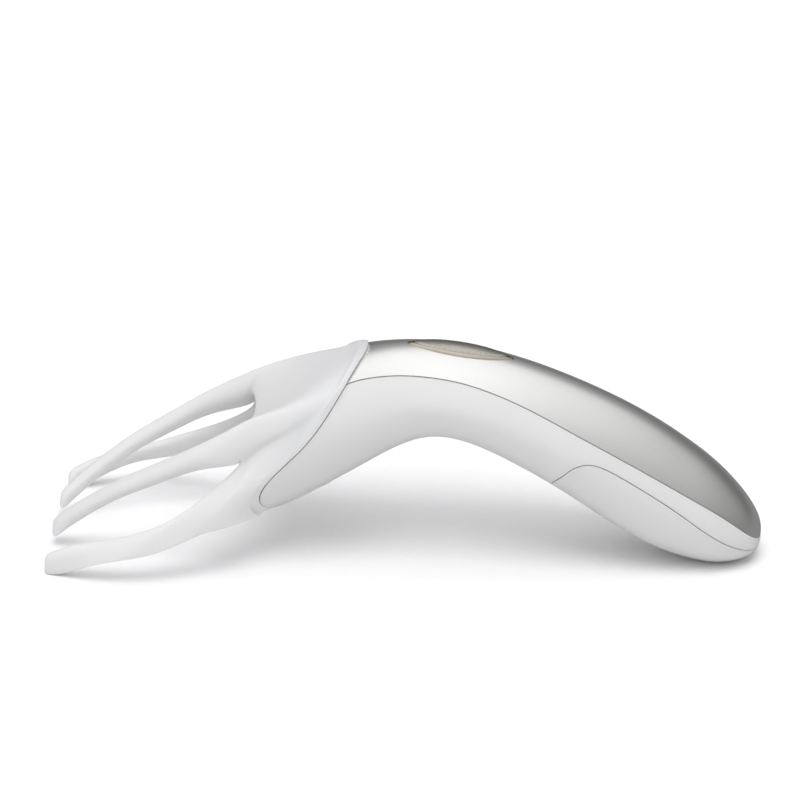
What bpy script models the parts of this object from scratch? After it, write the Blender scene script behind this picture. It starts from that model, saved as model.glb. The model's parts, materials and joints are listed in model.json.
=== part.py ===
"""Battery massage comb: arched handle, soft four-pronged head. Metres, +Z up, +X towards the tail."""
import itertools
import math

import bmesh
import bpy
import numpy as np
from mathutils import Matrix, Vector

# Overall sizes
OVERALL_LENGTH = 0.214
CREST_HEIGHT = 0.065
HANDLE_WIDTH = 0.040
HEAD_WIDTH = 0.073

# Handle form: (share of the length from the head's tips, share of the size that the row follows)
CREST_SHARES = [
    (0.280, 0.792), (0.327, 0.868), (0.397, 0.949), (0.453, 1.001), (0.533, 1.024),
    (0.631, 0.977), (0.748, 0.843), (0.864, 0.640), (0.949, 0.427), (1.000, 0.285),
]
KEEL_SHARES = [
    (0.280, 0.146), (0.327, 0.215), (0.397, 0.338), (0.453, 0.454), (0.533, 0.585),
    (0.631, 0.508), (0.748, 0.277), (0.841, 0.080), (0.925, -0.008), (1.000, -0.040),
]
WIDTH_SHARES = [
    (0.280, 1.350), (0.374, 1.125), (0.453, 0.975), (0.533, 0.950), (0.631, 0.975),
    (0.748, 1.000), (0.864, 0.950), (0.949, 0.825), (1.000, 0.725),
]
# How much narrower than an ellipse the top of the section is, along the length
NARROWING_SHARES = [
    (0.280, 0.00), (0.400, 0.05), (0.460, 0.22), (0.520, 0.38), (0.600, 0.40), (0.750, 0.34), (0.900, 0.24),
    (1.000, 0.20),
]
NARROWING_ROUNDS = 12
SLOPE_STEP_SHARE = 0.01
NOSE_LENGTH = 0.021
NOSE_POWER = 2.6
NOSE_END_SHARE = 0.96
FRONT_SHARE = 0.290
STATIONS = 20
NOSE_STATIONS = 6
RING_SIDES = 28

# Lines on the handle, in side view: (share of the length, share of the crest height)
PARTING_SHARES = [
    (0.250, 0.690), (0.388, 0.838), (0.422, 0.897), (0.479, 0.940), (0.511, 0.946), (0.583, 0.922),
    (0.667, 0.834), (0.786, 0.628), (0.938, 0.318), (0.993, 0.137), (1.040, 0.010),
]
SEAM_SHARES = [
    (0.463, 1.120), (0.448, 1.010), (0.437, 0.966), (0.422, 0.897), (0.403, 0.800), (0.367, 0.638),
    (0.329, 0.511), (0.309, 0.425), (0.304, 0.374), (0.308, 0.308), (0.318, 0.274), (0.336, 0.291),
    (0.357, 0.332), (0.376, 0.361), (0.395, 0.363), (0.405, 0.315), (0.409, 0.200),
]
DOOR_SHARES = [
    (0.708, -0.100), (0.710, 0.345), (0.713, 0.453), (0.719, 0.480), (0.728, 0.512), (0.737, 0.543),
    (0.750, 0.567), (0.764, 0.572), (0.779, 0.559), (0.801, 0.522), (0.836, 0.451), (0.890, 0.327),
    (0.966, 0.130), (0.988, 0.086), (1.030, 0.020),
]
PARTING_POINTS = 36
SEAM_POINTS = 44
DOOR_POINTS = 44

# Walls and fits
SHELL_WALL = 0.0020
DOOR_WALL = 0.0018
GAP = 0.0003
OVERRUN = 0.020

# Soft head
HEAD_SLEEVE = 0.0040
HEAD_SKIN = 0.0028
BEAD_WIDTH = 0.0032
BEAD_FALL = 0.0024
BEAD_RISE = 0.0008
SLEEVE_REAR_SHARE = 0.453
COLUMN_ANGLES = (90, 74, 57, 38, 20, 2, -22, -55, -73, -90)
COLUMN_SEAM_SHARES = (0.446, 0.442, 0.430, 0.413, 0.386, 0.355, 0.307, 0.315, 0.333, 0.341)
COLUMN_BEAD_SHARES = (1.0, 1.0, 1.0, 0.9, 0.6, 0.2, 0.0, 0.0)
INNER_ROOT_SHARES = (0.327, 0.320, 0.311, 0.301, 0.291, 0.278, 0.257, 0.243)
OUTER_ROOT_SHARES = (0.327, 0.278, 0.273, 0.271, 0.272, 0.262, 0.238, 0.224)
PRONG_ROW_SHARES = (0.19, 0.40, 0.62, 0.85, 1.0)
TIP_SHARE = 0.0073
# Guides of the head's outer face: (share of the length, of half the spread, of the crest height)
CROWN_SHARES = [(0.416, 0.0, 0.948), (0.374, 0.0, 0.840), (0.327, 0.0, 0.680)]
SLOPE_SHARES = [(0.414, 0.197, 0.938), (0.369, 0.282, 0.843), (0.320, 0.367, 0.728)]
RIDGE_SHARES = [
    (0.388, 0.468, 0.857), (0.322, 0.521, 0.783), (0.238, 0.556, 0.647), (0.146, 0.488, 0.472),
    (0.067, 0.381, 0.303), (0.004, 0.263, 0.128),
]
FLANK_SHARES = [(0.379, 0.548, 0.792), (0.341, 0.592, 0.723), (0.301, 0.608, 0.665), (0.271, 0.627, 0.612)]
OUTER_TOP_SHARES = [
    (0.350, 0.592, 0.680), (0.315, 0.586, 0.631), (0.291, 0.597, 0.569), (0.272, 0.625, 0.506),
    (0.228, 0.762, 0.388), (0.173, 0.912, 0.283), (0.118, 0.932, 0.212), (0.061, 0.904, 0.163),
    (0.004, 0.838, 0.085),
]
CHEEK_SHARES = [(0.320, 0.668, 0.548), (0.294, 0.696, 0.508), (0.262, 0.767, 0.425)]
JOWL_SHARES = [(0.283, 0.740, 0.377), (0.257, 0.822, 0.346), (0.238, 0.858, 0.314)]
RIM_SHARES = [
    (0.299, 0.562, 0.262), (0.283, 0.685, 0.266), (0.262, 0.784, 0.260), (0.220, 0.877, 0.234),
    (0.175, 0.967, 0.177), (0.118, 0.997, 0.126), (0.062, 0.959, 0.070), (0.030, 0.892, 0.018),
    (0.004, 0.840, -0.014),
]
INNER_PRONG_HEIGHT = 0.0052
INNER_PRONG_HEIGHT_SHARES = [(0.271, 2.15), (0.224, 1.63), (0.145, 1.25), (0.070, 1.02), (0.004, 0.94)]
INNER_PRONG_WIDTH = 0.0060
PRONG_SIDE_SHARE = 0.40
PRONG_FLANK_SHARE = 0.45
PRONG_KEEL_SHARE = 0.08
OUTER_PRONG_THICKNESS = 0.0040
OUTER_PRONG_BULGE = 0.0010
OUTER_EDGE_SHARE = 0.60
TIP_ROUNDING_SHARE = 0.78
ROOT_BLEND_SHARE = 0.5
WEB_THICKNESS = 0.0040
WEB_SHARE = 0.351
HEAD_LEVELS = 1
FIT_ROUNDS = 24

# Carrier that the head grips, and the vibration motor in it
CARRIER_WALL = 0.0018
CARRIER_CLEARANCE = 0.0009
CARRIER_FRONT_SHARE = 0.425
COLLAR_SHARE = 0.469
CARRIER_REAR_SHARE = 0.487
BULKHEAD_THICKNESS = 0.0022
BULKHEAD_SHARE = 0.440
MOTOR_DIAMETER = 0.0150
MOTOR_LENGTH = 0.0200
MOTOR_SHARE = 0.454
MOTOR_TILT = math.radians(21.0)
CRADLE_WALL = 0.0016
CRADLE_LENGTH = 0.0130
END_CAP_THICKNESS = 0.0018
END_CAP_DIAMETER = 0.0108
SHAFT_DIAMETER = 0.0020
SHAFT_LENGTH = 0.0095
WEIGHT_RADIUS = 0.0058
WEIGHT_LENGTH = 0.0060
WEIGHT_CLEARANCE = 0.0014
HUB_RADIUS = 0.0024
HUB_CLEARANCE = 0.00003

# Button, its bezel and the switch under it
BUTTON_LENGTH = 0.0318
BUTTON_WIDTH = 0.0092
BUTTON_SHARE = 0.576
BUTTON_RISE = 0.0009
BUTTON_EDGE_RISE = 0.0004
BUTTON_DEPTH = 0.0044
BUTTON_TRAVEL = 0.0005
BEZEL_WIDTH = 0.0007
BEZEL_RISE = 0.0003
BEZEL_DEPTH = 0.0026
BUTTON_POINTS = 24
BUTTON_POINT_POWER = 1.35
BUTTON_RING_SHARES = (1.0, 0.8, 0.45)
BEZEL_RING_SHARE = 0.6
BOARD_LENGTH = 0.0340
BOARD_CLEARANCE = 0.0008
BOARD_WIDTH = 0.0180
BOARD_SCREW_INSET = 0.0030
BOARD_SCREW_PITCH = 0.0120
BOARD_THICKNESS = 0.0016
BOARD_DEPTH = 0.0110
SWITCH_SIZE = 0.0060
SWITCH_HEIGHT = 0.0036
PLUNGER_DIAMETER = 0.0034
CHIP_SIZE = (0.0050, 0.0040, 0.0016)
CAPACITOR_DIAMETER = 0.0050
CAPACITOR_LENGTH = 0.0060
CAPACITOR_INSET = 0.0065

# Battery bay in the tail
BAY_TILT = math.radians(28.3)
BAY_SHARE = 0.793
BAY_DROP = 0.0009
CELL_DIAMETER = 0.0105
CELL_LENGTH = 0.0445
CELL_NUB_DIAMETER = 0.0038
CELL_NUB_LENGTH = 0.0008
CELL_PITCH = 0.0115
TRAY_WALL = 0.0012
TRAY_DEPTH = 0.0090
CONTACT_SPACE = 0.0040
CONTACT_THICKNESS = 0.0005
CONTACT_WIDTH = 0.0090
CONTACT_HEIGHT = 0.0080
SPRING_WIRE = 0.0006
SPRING_FOOT_DIAMETER = 0.0072
SPRING_TOP_DIAMETER = 0.0036
SPRING_TURNS = 3
SPRING_POINTS = 8

# Screws, bosses and wires
SCREW_DIAMETER = 0.0022
SCREW_HEAD_DIAMETER = 0.0042
SCREW_HEAD_HEIGHT = 0.0012
SCREW_CROWN_SHARE = 0.7
SCREW_SLOT_WIDTH = 0.0007
SCREW_SLOT_DEPTH = 0.0007
SCREW_LENGTH = 0.0062
BOSS_DIAMETER = 0.0050
LEDGE_THICKNESS = 0.0022
LEDGE_LENGTH = 0.0062
LEDGE_SHARE = 0.962
LEDGE_HEIGHT_SHARE = 0.180
WIRE_DIAMETER = 0.0012
LEAD_POINTS = 10
LEAD_BEND = 0.0025
MOTOR_LEAD_PITCH = 0.0060
MOTOR_LEAD_PLACE = 0.0050
BATTERY_LEAD_INSET = 0.0015
BATTERY_LEAD_PITCH = 0.0044
ROUND_SIDES = 24
SMALL_SIDES = 12
SHARP_ANGLE = math.radians(35)


def clear_scene():
    for old in list(bpy.data.objects):
        bpy.data.objects.remove(old, do_unlink=True)


def material(name, colour, roughness, metallic=0.0, transmission=0.0):
    made = bpy.data.materials.new(name)
    made.use_nodes = True
    shader = made.node_tree.nodes["Principled BSDF"]
    shader.inputs["Base Color"].default_value = (*colour, 1.0)
    shader.inputs["Roughness"].default_value = roughness
    shader.inputs["Metallic"].default_value = metallic
    shader.inputs["Transmission Weight"].default_value = transmission
    return made


def mesh_object(name, points, faces, finish=None):
    mesh = bpy.data.meshes.new(name)
    mesh.from_pydata([tuple(p) for p in points], [], faces)
    shape = bmesh.new()
    shape.from_mesh(mesh)
    bmesh.ops.recalc_face_normals(shape, faces=shape.faces)
    shape.to_mesh(mesh)
    shape.free()
    made = bpy.data.objects.new(name, mesh)
    bpy.context.scene.collection.objects.link(made)
    if finish:
        mesh.materials.append(finish)
        mesh.shade_smooth()
        mesh.set_sharp_from_angle(angle=SHARP_ANGLE)
    return made


def helper(made):
    """A cutter or guide: it shapes other pieces and isn't one itself."""
    made.hide_render = True
    made.display_type = "WIRE"
    return made


def combine(piece, other, operation="DIFFERENCE", solver="EXACT"):
    step = piece.modifiers.new(operation.title() + " " + other.name, "BOOLEAN")
    step.operation = operation
    step.object = other
    step.solver = solver


def place(piece, location, tilt=0.0):
    piece.location = location
    piece.rotation_euler = (0.0, tilt, 0.0)
    return piece


def smooth(knots, at):
    """Value of the natural cubic through (place, value) knots."""
    table = np.array(knots, float)
    x, y = table[:, 0], table[:, 1]
    step = np.diff(x)
    count = len(x)
    system = np.eye(count)
    right = np.zeros(count)
    for i in range(1, count - 1):
        system[i, i - 1 : i + 2] = step[i - 1], 2 * (step[i - 1] + step[i]), step[i]
        right[i] = 6 * ((y[i + 1] - y[i]) / step[i] - (y[i] - y[i - 1]) / step[i - 1])
    bend = np.linalg.solve(system, right)
    i = int(np.clip(np.searchsorted(x, at) - 1, 0, count - 2))
    along = at - x[i]
    slope = (y[i + 1] - y[i]) / step[i] - step[i] * (2 * bend[i] + bend[i + 1]) / 6
    turn = (bend[i + 1] - bend[i]) / (6 * step[i])
    return float(y[i] + along * (slope + along * (bend[i] / 2 + along * turn)))


def smooth_path(points, count):
    """Evenly numbered points on a natural cubic through hand-chosen points, of any dimension."""
    chosen = np.array(points, float)
    run = np.concatenate([[0.0], np.cumsum(np.linalg.norm(np.diff(chosen, axis=0), axis=1))])
    spots = np.linspace(0.0, run[-1], count)
    columns = [[smooth(list(zip(run, chosen[:, k])), s) for s in spots] for k in range(chosen.shape[1])]
    return np.array(columns).T


def length_at(share):
    return (share - 0.5) * OVERALL_LENGTH


def share_at(x):
    return x / OVERALL_LENGTH + 0.5


def side_point(shares):
    return length_at(shares[0]), CREST_HEIGHT * shares[1]


def section(x, inset=0.0):
    """Centre height, half height and half width of the handle's oval section at x."""
    share = share_at(x)
    top = CREST_HEIGHT * smooth(CREST_SHARES, share)
    low = CREST_HEIGHT * smooth(KEEL_SHARES, share)
    half_width = HANDLE_WIDTH / 2 * smooth(WIDTH_SHARES, share)
    after, before = share + SLOPE_STEP_SHARE, share - SLOPE_STEP_SHARE
    rise = smooth(CREST_SHARES, after) + smooth(KEEL_SHARES, after)
    rise -= smooth(CREST_SHARES, before) + smooth(KEEL_SHARES, before)
    slope = CREST_HEIGHT * rise / (4 * SLOPE_STEP_SHARE * OVERALL_LENGTH)
    nose = OVERALL_LENGTH / 2 - inset - NOSE_LENGTH
    along = min(1.0, max(0.0, (x - nose) / NOSE_LENGTH))
    rounding = (1 - along**NOSE_POWER) ** (1 / NOSE_POWER)
    half_height = (top - low) / 2 - inset * math.hypot(1.0, slope)
    return (top + low) / 2, half_height * rounding, (half_width - inset) * rounding


def form_point(x, degrees, inset=0.0):
    """Point of the handle's form; 90 degrees is the crest, 0 the near side, -90 the keel."""
    middle, half_height, half_width = section(x, inset)
    angle = math.radians(degrees)
    narrowing = smooth(NARROWING_SHARES, share_at(x)) * max(0.0, math.sin(angle)) ** 2
    across = -half_width * math.cos(angle) * (1 - narrowing)
    return Vector((x, across, middle + half_height * math.sin(angle)))


def crest_point(x, y):
    """Point of the form's top at that distance from the middle."""
    middle, half_height, half_width = section(x)
    narrowing = smooth(NARROWING_SHARES, share_at(x))
    across = cosine = y / half_width
    for _ in range(NARROWING_ROUNDS):
        cosine = across / (1 - narrowing * (1 - cosine**2))
    return Vector((x, y, middle + half_height * math.sqrt(1 - cosine**2)))


def loft(name, rings, finish=None):
    count = len(rings[0])
    points = [p for ring in rings for p in ring]
    faces = [tuple(range(count)), tuple(range(len(points) - count, len(points)))]
    for r in range(len(rings) - 1):
        for i in range(count):
            j = (i + 1) % count
            a, b = r * count, (r + 1) * count
            faces.append((a + i, a + j, b + j, b + i))
    return mesh_object(name, points, faces, finish)


def form_loft(name, inset, front, finish=None, rear=None):
    """The handle's form as a solid, inset all round, from x = front to the tail or to x = rear."""
    if rear is None:
        nose = OVERALL_LENGTH / 2 - inset - NOSE_LENGTH
        spots = list(np.linspace(front, nose, STATIONS, endpoint=False))
        turn = np.linspace(0.0, NOSE_END_SHARE, NOSE_STATIONS) * math.pi / 2
        spots += [nose + NOSE_LENGTH * math.sin(t) for t in turn]
    else:
        spots = list(np.linspace(front, rear, STATIONS // 3))
    angles = [90.0 - 360.0 * i / RING_SIDES for i in range(RING_SIDES)]
    return loft(name, [[form_point(x, a, inset) for a in angles] for x in spots], finish)


def prism(name, outline, half_width):
    """Side-view outline of (x, z) points carried across the object."""
    near = [Vector((x, -half_width, z)) for x, z in outline]
    far = [Vector((x, half_width, z)) for x, z in outline]
    return helper(loft(name, [near, far]))


def offset_line(line, distance):
    """A side-view line moved to its left by the distance."""
    line = np.array(line)
    tangent = np.gradient(line, axis=0)
    tangent /= np.linalg.norm(tangent, axis=1)[:, None]
    return line + distance * np.column_stack([-tangent[:, 1], tangent[:, 0]])


def turned(name, profile, finish=None, sides=ROUND_SIDES):
    """Solid turned about local X from (place, radius) pairs that start and end on the axis."""
    rings = []
    for along, radius in profile[1:-1]:
        angles = [2 * math.pi * i / sides for i in range(sides)]
        rings.append([Vector((along, radius * math.cos(a), radius * math.sin(a))) for a in angles])
    return loft(name, rings, finish)


def rod(name, start, end, radius, finish=None, sides=ROUND_SIDES):
    return turned(name, [(start, 0.0), (start, radius), (end, radius), (end, 0.0)], finish, sides)


def block(name, low, high, finish=None):
    corners = itertools.product((low[0], high[0]), (low[1], high[1]), (low[2], high[2]))
    points = [Vector(corner) for corner in corners]
    faces = [(0, 1, 3, 2), (4, 6, 7, 5), (0, 4, 5, 1), (2, 3, 7, 6), (0, 2, 6, 4), (1, 5, 7, 3)]
    return mesh_object(name, points, faces, finish)


def tube(name, points, diameter, finish, resolution=1):
    """Round wire along a chain of points."""
    curve = bpy.data.curves.new(name, "CURVE")
    curve.dimensions = "3D"
    curve.bevel_depth = diameter / 2
    curve.bevel_resolution = resolution
    curve.use_fill_caps = True
    run = curve.splines.new("POLY")
    run.points.add(len(points) - 1)
    for knot, point in zip(run.points, points):
        knot.co = (*point, 1.0)
    made = bpy.data.objects.new(name, curve)
    bpy.context.scene.collection.objects.link(made)
    curve.materials.append(finish)
    return made


def far_right():
    return OVERALL_LENGTH / 2 + OVERRUN


def side_regions():
    """Cutters in side view: above and below the parting line, behind the head seam, inside the door line."""
    shares = np.linspace(PARTING_SHARES[0][0], PARTING_SHARES[-1][0], PARTING_POINTS)
    parting = [side_point((s, smooth(PARTING_SHARES, s))) for s in shares]
    high, low = CREST_HEIGHT + OVERRUN, -OVERRUN
    left, right = parting[0][0] - OVERRUN, far_right()
    ends = (right, parting[-1][1]), (left, parting[0][1])
    above = [ends[1], *parting, ends[0], (right, high), (left, high)]
    under = [(x, z - GAP) for x, z in (ends[1], *parting, ends[0])]
    under += [(right, low), (left, low)]
    seam = smooth_path([side_point(s) for s in SEAM_SHARES], SEAM_POINTS)
    behind_head = [*map(tuple, seam), (seam[-1][0], low), (right, low), (right, high), (seam[0][0], high)]
    wide = offset_line(seam, -GAP)
    around_head = [*map(tuple, wide), (wide[-1][0], low), (right, low), (right, high), (wide[0][0], high)]
    door = smooth_path([side_point(s) for s in DOOR_SHARES], DOOR_POINTS)
    door_area = [*map(tuple, door), (door[-1][0], low), (door[0][0], low)]
    room = offset_line(door, GAP)
    door_room = [*map(tuple, room), (room[-1][0], low), (room[0][0], low)]
    width = max(HANDLE_WIDTH, HEAD_WIDTH)
    return {
        "above": prism("above_parting", above, width),
        "under": prism("under_parting", under, width),
        "behind": prism("behind_seam", behind_head, width),
        "around": prism("around_seam", around_head, width),
        "door": prism("door_area", door_area, width),
        "door_room": prism("door_room", door_room, width),
    }


def wall_band(name, inset, region):
    """Everything outside the inset form within a side-view region: it clears room for a wall."""
    front = length_at(FRONT_SHARE)
    band = helper(form_loft(name, -OVERRUN / 4, front))
    combine(band, helper(form_loft(name + "_core", inset, front - OVERRUN / 4)))
    combine(band, region, "INTERSECT")
    return band


def ground_cutter():
    reach = OVERALL_LENGTH
    return helper(block("ground", (-reach, -reach, -OVERRUN), (reach, reach, 0.0)))


def button_outline(width, length, count=BUTTON_POINTS):
    """Pointed oval of (along, across) points, first half on the far side."""
    half = []
    for i in range(count // 2 + 1):
        turn = math.pi * i / (count // 2)
        half.append((-length / 2 * math.cos(turn), width / 2 * math.sin(turn) ** BUTTON_POINT_POWER))
    return half + [(x, -y) for x, y in reversed(half[1:-1])]


def button_axis():
    """Unit vector out of the crest at the middle of the button."""
    x = length_at(BUTTON_SHARE)
    step = BUTTON_LENGTH / 2
    run = crest_point(x + step, 0.0) - crest_point(x - step, 0.0)
    return Vector((-run.z, 0.0, run.x)).normalized()


def button_loops(width, length, rises, depth):
    """Loops of a cap from its flat foot up over the crest, one loop for each (share, rise)."""
    centre = length_at(BUTTON_SHARE)
    axis = button_axis()
    outline = button_outline(width, length)
    top = [[crest_point(centre + x * s, y * s) + axis * rise for x, y in outline] for s, rise in rises]
    foot_level = (crest_point(centre, 0.0) - axis * depth).dot(axis)
    foot = [p - axis * (p.dot(axis) - foot_level) for p in top[0]]
    return [foot, *top]


def button_pieces(finishes, top_shell):
    dome = BUTTON_RISE - BUTTON_EDGE_RISE
    rises = [(s, BUTTON_EDGE_RISE + dome * (1 - s**2)) for s in BUTTON_RING_SHARES]
    cap_loops = button_loops(BUTTON_WIDTH, BUTTON_LENGTH, rises, BUTTON_DEPTH)
    loft("button_cap", cap_loops, finishes["button"])
    ring_width = BUTTON_WIDTH + 2 * (GAP + BEZEL_WIDTH)
    ring_length = BUTTON_LENGTH + 2 * (GAP + 2 * BEZEL_WIDTH)
    bezel_rises = [(1.0, BEZEL_RISE), (BEZEL_RING_SHARE, BEZEL_RISE)]
    ring_loops = button_loops(ring_width, ring_length, bezel_rises, BEZEL_DEPTH)
    bezel = loft("button_bezel", ring_loops, finishes["bezel"])
    hole_rises = [(1.0, OVERRUN)]
    hole = button_loops(BUTTON_WIDTH + 2 * GAP, BUTTON_LENGTH + 4 * GAP, hole_rises, OVERRUN / 2)
    combine(bezel, helper(loft("button_hole", hole)))
    slot = button_loops(ring_width + 2 * GAP, ring_length + 4 * GAP, hole_rises, OVERRUN / 2)
    combine(top_shell, helper(loft("bezel_slot", slot)), solver="MANIFOLD")


def prong_height(share):
    return INNER_PRONG_HEIGHT * smooth(sorted(INNER_PRONG_HEIGHT_SHARES), share)


def guide_point(guide, column, share):
    """Point of a head guide, which starts on the handle's form at the seam."""
    start = form_point(length_at(COLUMN_SEAM_SHARES[column]), COLUMN_ANGLES[column])
    knots = [(COLUMN_SEAM_SHARES[column], -start.y, start.z)]
    knots += [(s, y * HEAD_WIDTH / 2, z * CREST_HEIGHT) for s, y, z in guide]
    knots.sort()
    y = smooth([(s, a) for s, a, _ in knots], share)
    z = smooth([(s, b) for s, _, b in knots], share)
    return Vector((length_at(share), -y, z))


HEAD_GUIDES = (
    CROWN_SHARES, SLOPE_SHARES, RIDGE_SHARES, FLANK_SHARES,
    OUTER_TOP_SHARES, CHEEK_SHARES, JOWL_SHARES, RIM_SHARES,
)
# Rows of the head's cage from the sleeve's rear edge forward; the prongs' rows follow the last of these
HEAD_ROWS = ("rear", "sleeve", "seam", "bead", "foot", "dish", "inner root", "outer root")
SEAM_ROW, FOOT_ROW = HEAD_ROWS.index("seam"), HEAD_ROWS.index("foot")
INNER_ROOT_ROW, OUTER_ROOT_ROW = HEAD_ROWS.index("inner root"), HEAD_ROWS.index("outer root")
LAST_ROW = OUTER_ROOT_ROW + len(PRONG_ROW_SHARES)


def row_share(column, row):
    """Place along the length of one point of the head's cage."""
    seam = COLUMN_SEAM_SHARES[column]
    if row <= SEAM_ROW:
        return SLEEVE_REAR_SHARE + (seam - SLEEVE_REAR_SHARE) * row / SEAM_ROW
    bead = BEAD_WIDTH / OVERALL_LENGTH
    if row == SEAM_ROW + 1:
        return seam - bead
    foot = seam - bead - BEAD_FALL / OVERALL_LENGTH
    if row <= INNER_ROOT_ROW:
        part = (row - FOOT_ROW) / (INNER_ROOT_ROW - FOOT_ROW)
        return foot + (INNER_ROOT_SHARES[column] - foot) * part
    root = OUTER_ROOT_SHARES[column]
    if row == OUTER_ROOT_ROW:
        return root
    return root + (TIP_SHARE - root) * PRONG_ROW_SHARES[row - OUTER_ROOT_ROW - 1]


def head_outer(column, row):
    """Point of the head's outer face."""
    share = row_share(column, row)
    x = length_at(share)
    on_guides = column < len(HEAD_GUIDES)
    if row <= SEAM_ROW + 1 or not on_guides:
        beaded = on_guides and row >= SEAM_ROW
        rise = BEAD_RISE * COLUMN_BEAD_SHARES[column] if beaded else 0.0
        on_form = form_point(x, COLUMN_ANGLES[column], -rise)
        if row <= SEAM_ROW:
            return on_form
        on_guide = guide_point(HEAD_GUIDES[column], column, share)
        return on_guide + (on_form - form_point(x, COLUMN_ANGLES[column]))
    if row <= OUTER_ROOT_ROW or column in (2, 4, 7):
        return guide_point(HEAD_GUIDES[column], column, share)
    if column in (1, 3):
        ridge = guide_point(RIDGE_SHARES, 2, share)
        side = 1 if column == 1 else -1
        return ridge + Vector((0.0, side * INNER_PRONG_WIDTH / 2, -PRONG_SIDE_SHARE * prong_height(share)))
    part = (column - 4) / 3
    top = guide_point(OUTER_TOP_SHARES, 4, row_share(4, row))
    rim = guide_point(RIM_SHARES, 7, row_share(7, row))
    return top.lerp(rim, part) + Vector((0.0, -OUTER_PRONG_BULGE, 0.0))


def head_inner(column, row, outer):
    """Point of the head's inner face behind an outer one."""
    point = outer[column, row]
    if row <= SEAM_ROW or column >= len(HEAD_GUIDES):
        return form_point(point.x, COLUMN_ANGLES[column], HEAD_SLEEVE)
    share = share_at(point.x)
    height = prong_height(share)
    if column in (1, 3):
        side = -1 if column == 1 else 1
        prong = Vector((0.0, side * PRONG_KEEL_SHARE * INNER_PRONG_WIDTH, -PRONG_FLANK_SHARE * height))
    elif column == 2:
        prong = Vector((0.0, 0.0, -height))
    elif column in (4, 7):
        prong = Vector((0.0, OUTER_PRONG_THICKNESS * OUTER_EDGE_SHARE, 0.0))
    else:
        prong = Vector((0.0, OUTER_PRONG_THICKNESS + OUTER_PRONG_BULGE / 2, 0.0))
    if row > INNER_ROOT_ROW:
        return point + prong
    ahead = outer.get((column, row + 1), point)
    behind = outer[column, row - 1]
    left = outer.get((column - 1, row), point)
    right = outer.get((column + 1, row), point)
    if column == 0:
        left = Vector((right.x, -right.y, right.z))
    normal = (right - left).cross(ahead - behind).normalized()
    skin = point + normal * HEAD_SKIN
    blend = ROOT_BLEND_SHARE if row == INNER_ROOT_ROW and column in (1, 2, 3) else 0.0
    return skin.lerp(point + prong, blend)


def head_cage():
    """Points, and quads over both sides: outer layer, inner layer, and the edges that join them."""
    cells = {}
    for column in range(len(COLUMN_ANGLES)):
        last = LAST_ROW
        if column == 0:
            last = INNER_ROOT_ROW
        if column >= len(HEAD_GUIDES):
            last = SEAM_ROW
        for row in range(last + 1):
            cells[column, row] = head_outer(column, row)
    inner = {key: head_inner(*key, cells) for key in cells}
    for group in ((1, 2, 3), (4, 5, 6, 7)):
        ring = [cells[c, LAST_ROW] for c in group] + [inner[c, LAST_ROW] for c in group]
        middle = sum(ring, Vector()) / len(ring)
        for c in group:
            cells[c, LAST_ROW] = middle.lerp(cells[c, LAST_ROW], TIP_ROUNDING_SHARE)
            inner[c, LAST_ROW] = middle.lerp(inner[c, LAST_ROW], TIP_ROUNDING_SHARE)
    points, index = [], {}
    middle_columns = 0, len(COLUMN_ANGLES) - 1
    for layer, source in (("out", cells), ("in", inner)):
        for (column, row), p in source.items():
            for side in (1, -1):
                if side < 0 and column in middle_columns:
                    index[layer, side, column, row] = index[layer, 1, column, row]
                    continue
                index[layer, side, column, row] = len(points)
                across = 0.0 if column in middle_columns else p.y * side
                points.append(Vector((p.x, across, p.z)))
    sheet = []
    for column in range(middle_columns[1]):
        for row in range(LAST_ROW):
            corners = [(column, row), (column + 1, row), (column + 1, row + 1), (column, row + 1)]
            if not all(c in cells for c in corners):
                continue
            if column == 3 and row >= OUTER_ROOT_ROW:
                continue
            sheet.append(corners)
    faces = []
    edges = {}
    for side in (1, -1):
        for corners in sheet:
            for layer in ("out", "in"):
                loop = [index[layer, side, c, r] for c, r in corners]
                faces.append(loop[::side] if layer == "out" else loop[:: -side])
            for a, b in zip(corners, corners[1:] + corners[:1]):
                key = frozenset((index["out", side, *a], index["out", side, *b]))
                edges.setdefault(key, []).append((side, a, b))
    for found in edges.values():
        if len(found) > 1:
            continue
        side, a, b = found[0]
        loop = [index["out", side, *b], index["out", side, *a], index["in", side, *a], index["in", side, *b]]
        faces.append(loop[::side])
    return np.array([tuple(p) for p in points]), faces


def through_points(targets, faces):
    """Moves a cage until its subdivided surface passes through the wanted points."""
    count = len(targets)
    near = np.zeros((count, count))
    across = np.zeros((count, count))
    for a, b, c, d in faces:
        for p, q, r in ((a, b, c), (b, c, d), (c, d, a), (d, a, b)):
            near[p, q] = near[q, p] = 1.0
            across[p, r] = across[p, r] + 1.0
    valence = near.sum(axis=1)
    weights = np.diag(valence**2) + 4 * near + across
    weights /= (valence * (valence + 5))[:, None]
    cage = targets.copy()
    for _ in range(FIT_ROUNDS):
        cage += targets - weights @ cage
    return cage


def web_plug(name):
    """Wall across the head's root that closes the sleeve in front of the motor."""
    loops = []
    for ahead in (0.0, WEB_THICKNESS):
        share = WEB_SHARE - ahead / OVERALL_LENGTH
        x = length_at(share)
        half = []
        for column, angle in enumerate(COLUMN_ANGLES):
            if column < 5:
                p = guide_point(HEAD_GUIDES[column], column, share)
                depth = HEAD_SKIN / 2
            else:
                p = form_point(x, angle)
                depth = SHELL_WALL + GAP + (HEAD_SLEEVE - SHELL_WALL - GAP) / 2
            middle = Vector((x, 0.0, section(x)[0]))
            half.append(p + (middle - p).normalized() * depth)
        half[0].y = half[-1].y = 0.0
        loops.append(half + [Vector((p.x, -p.y, p.z)) for p in reversed(half[1:-1])])
    return helper(loft(name, loops))


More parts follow.
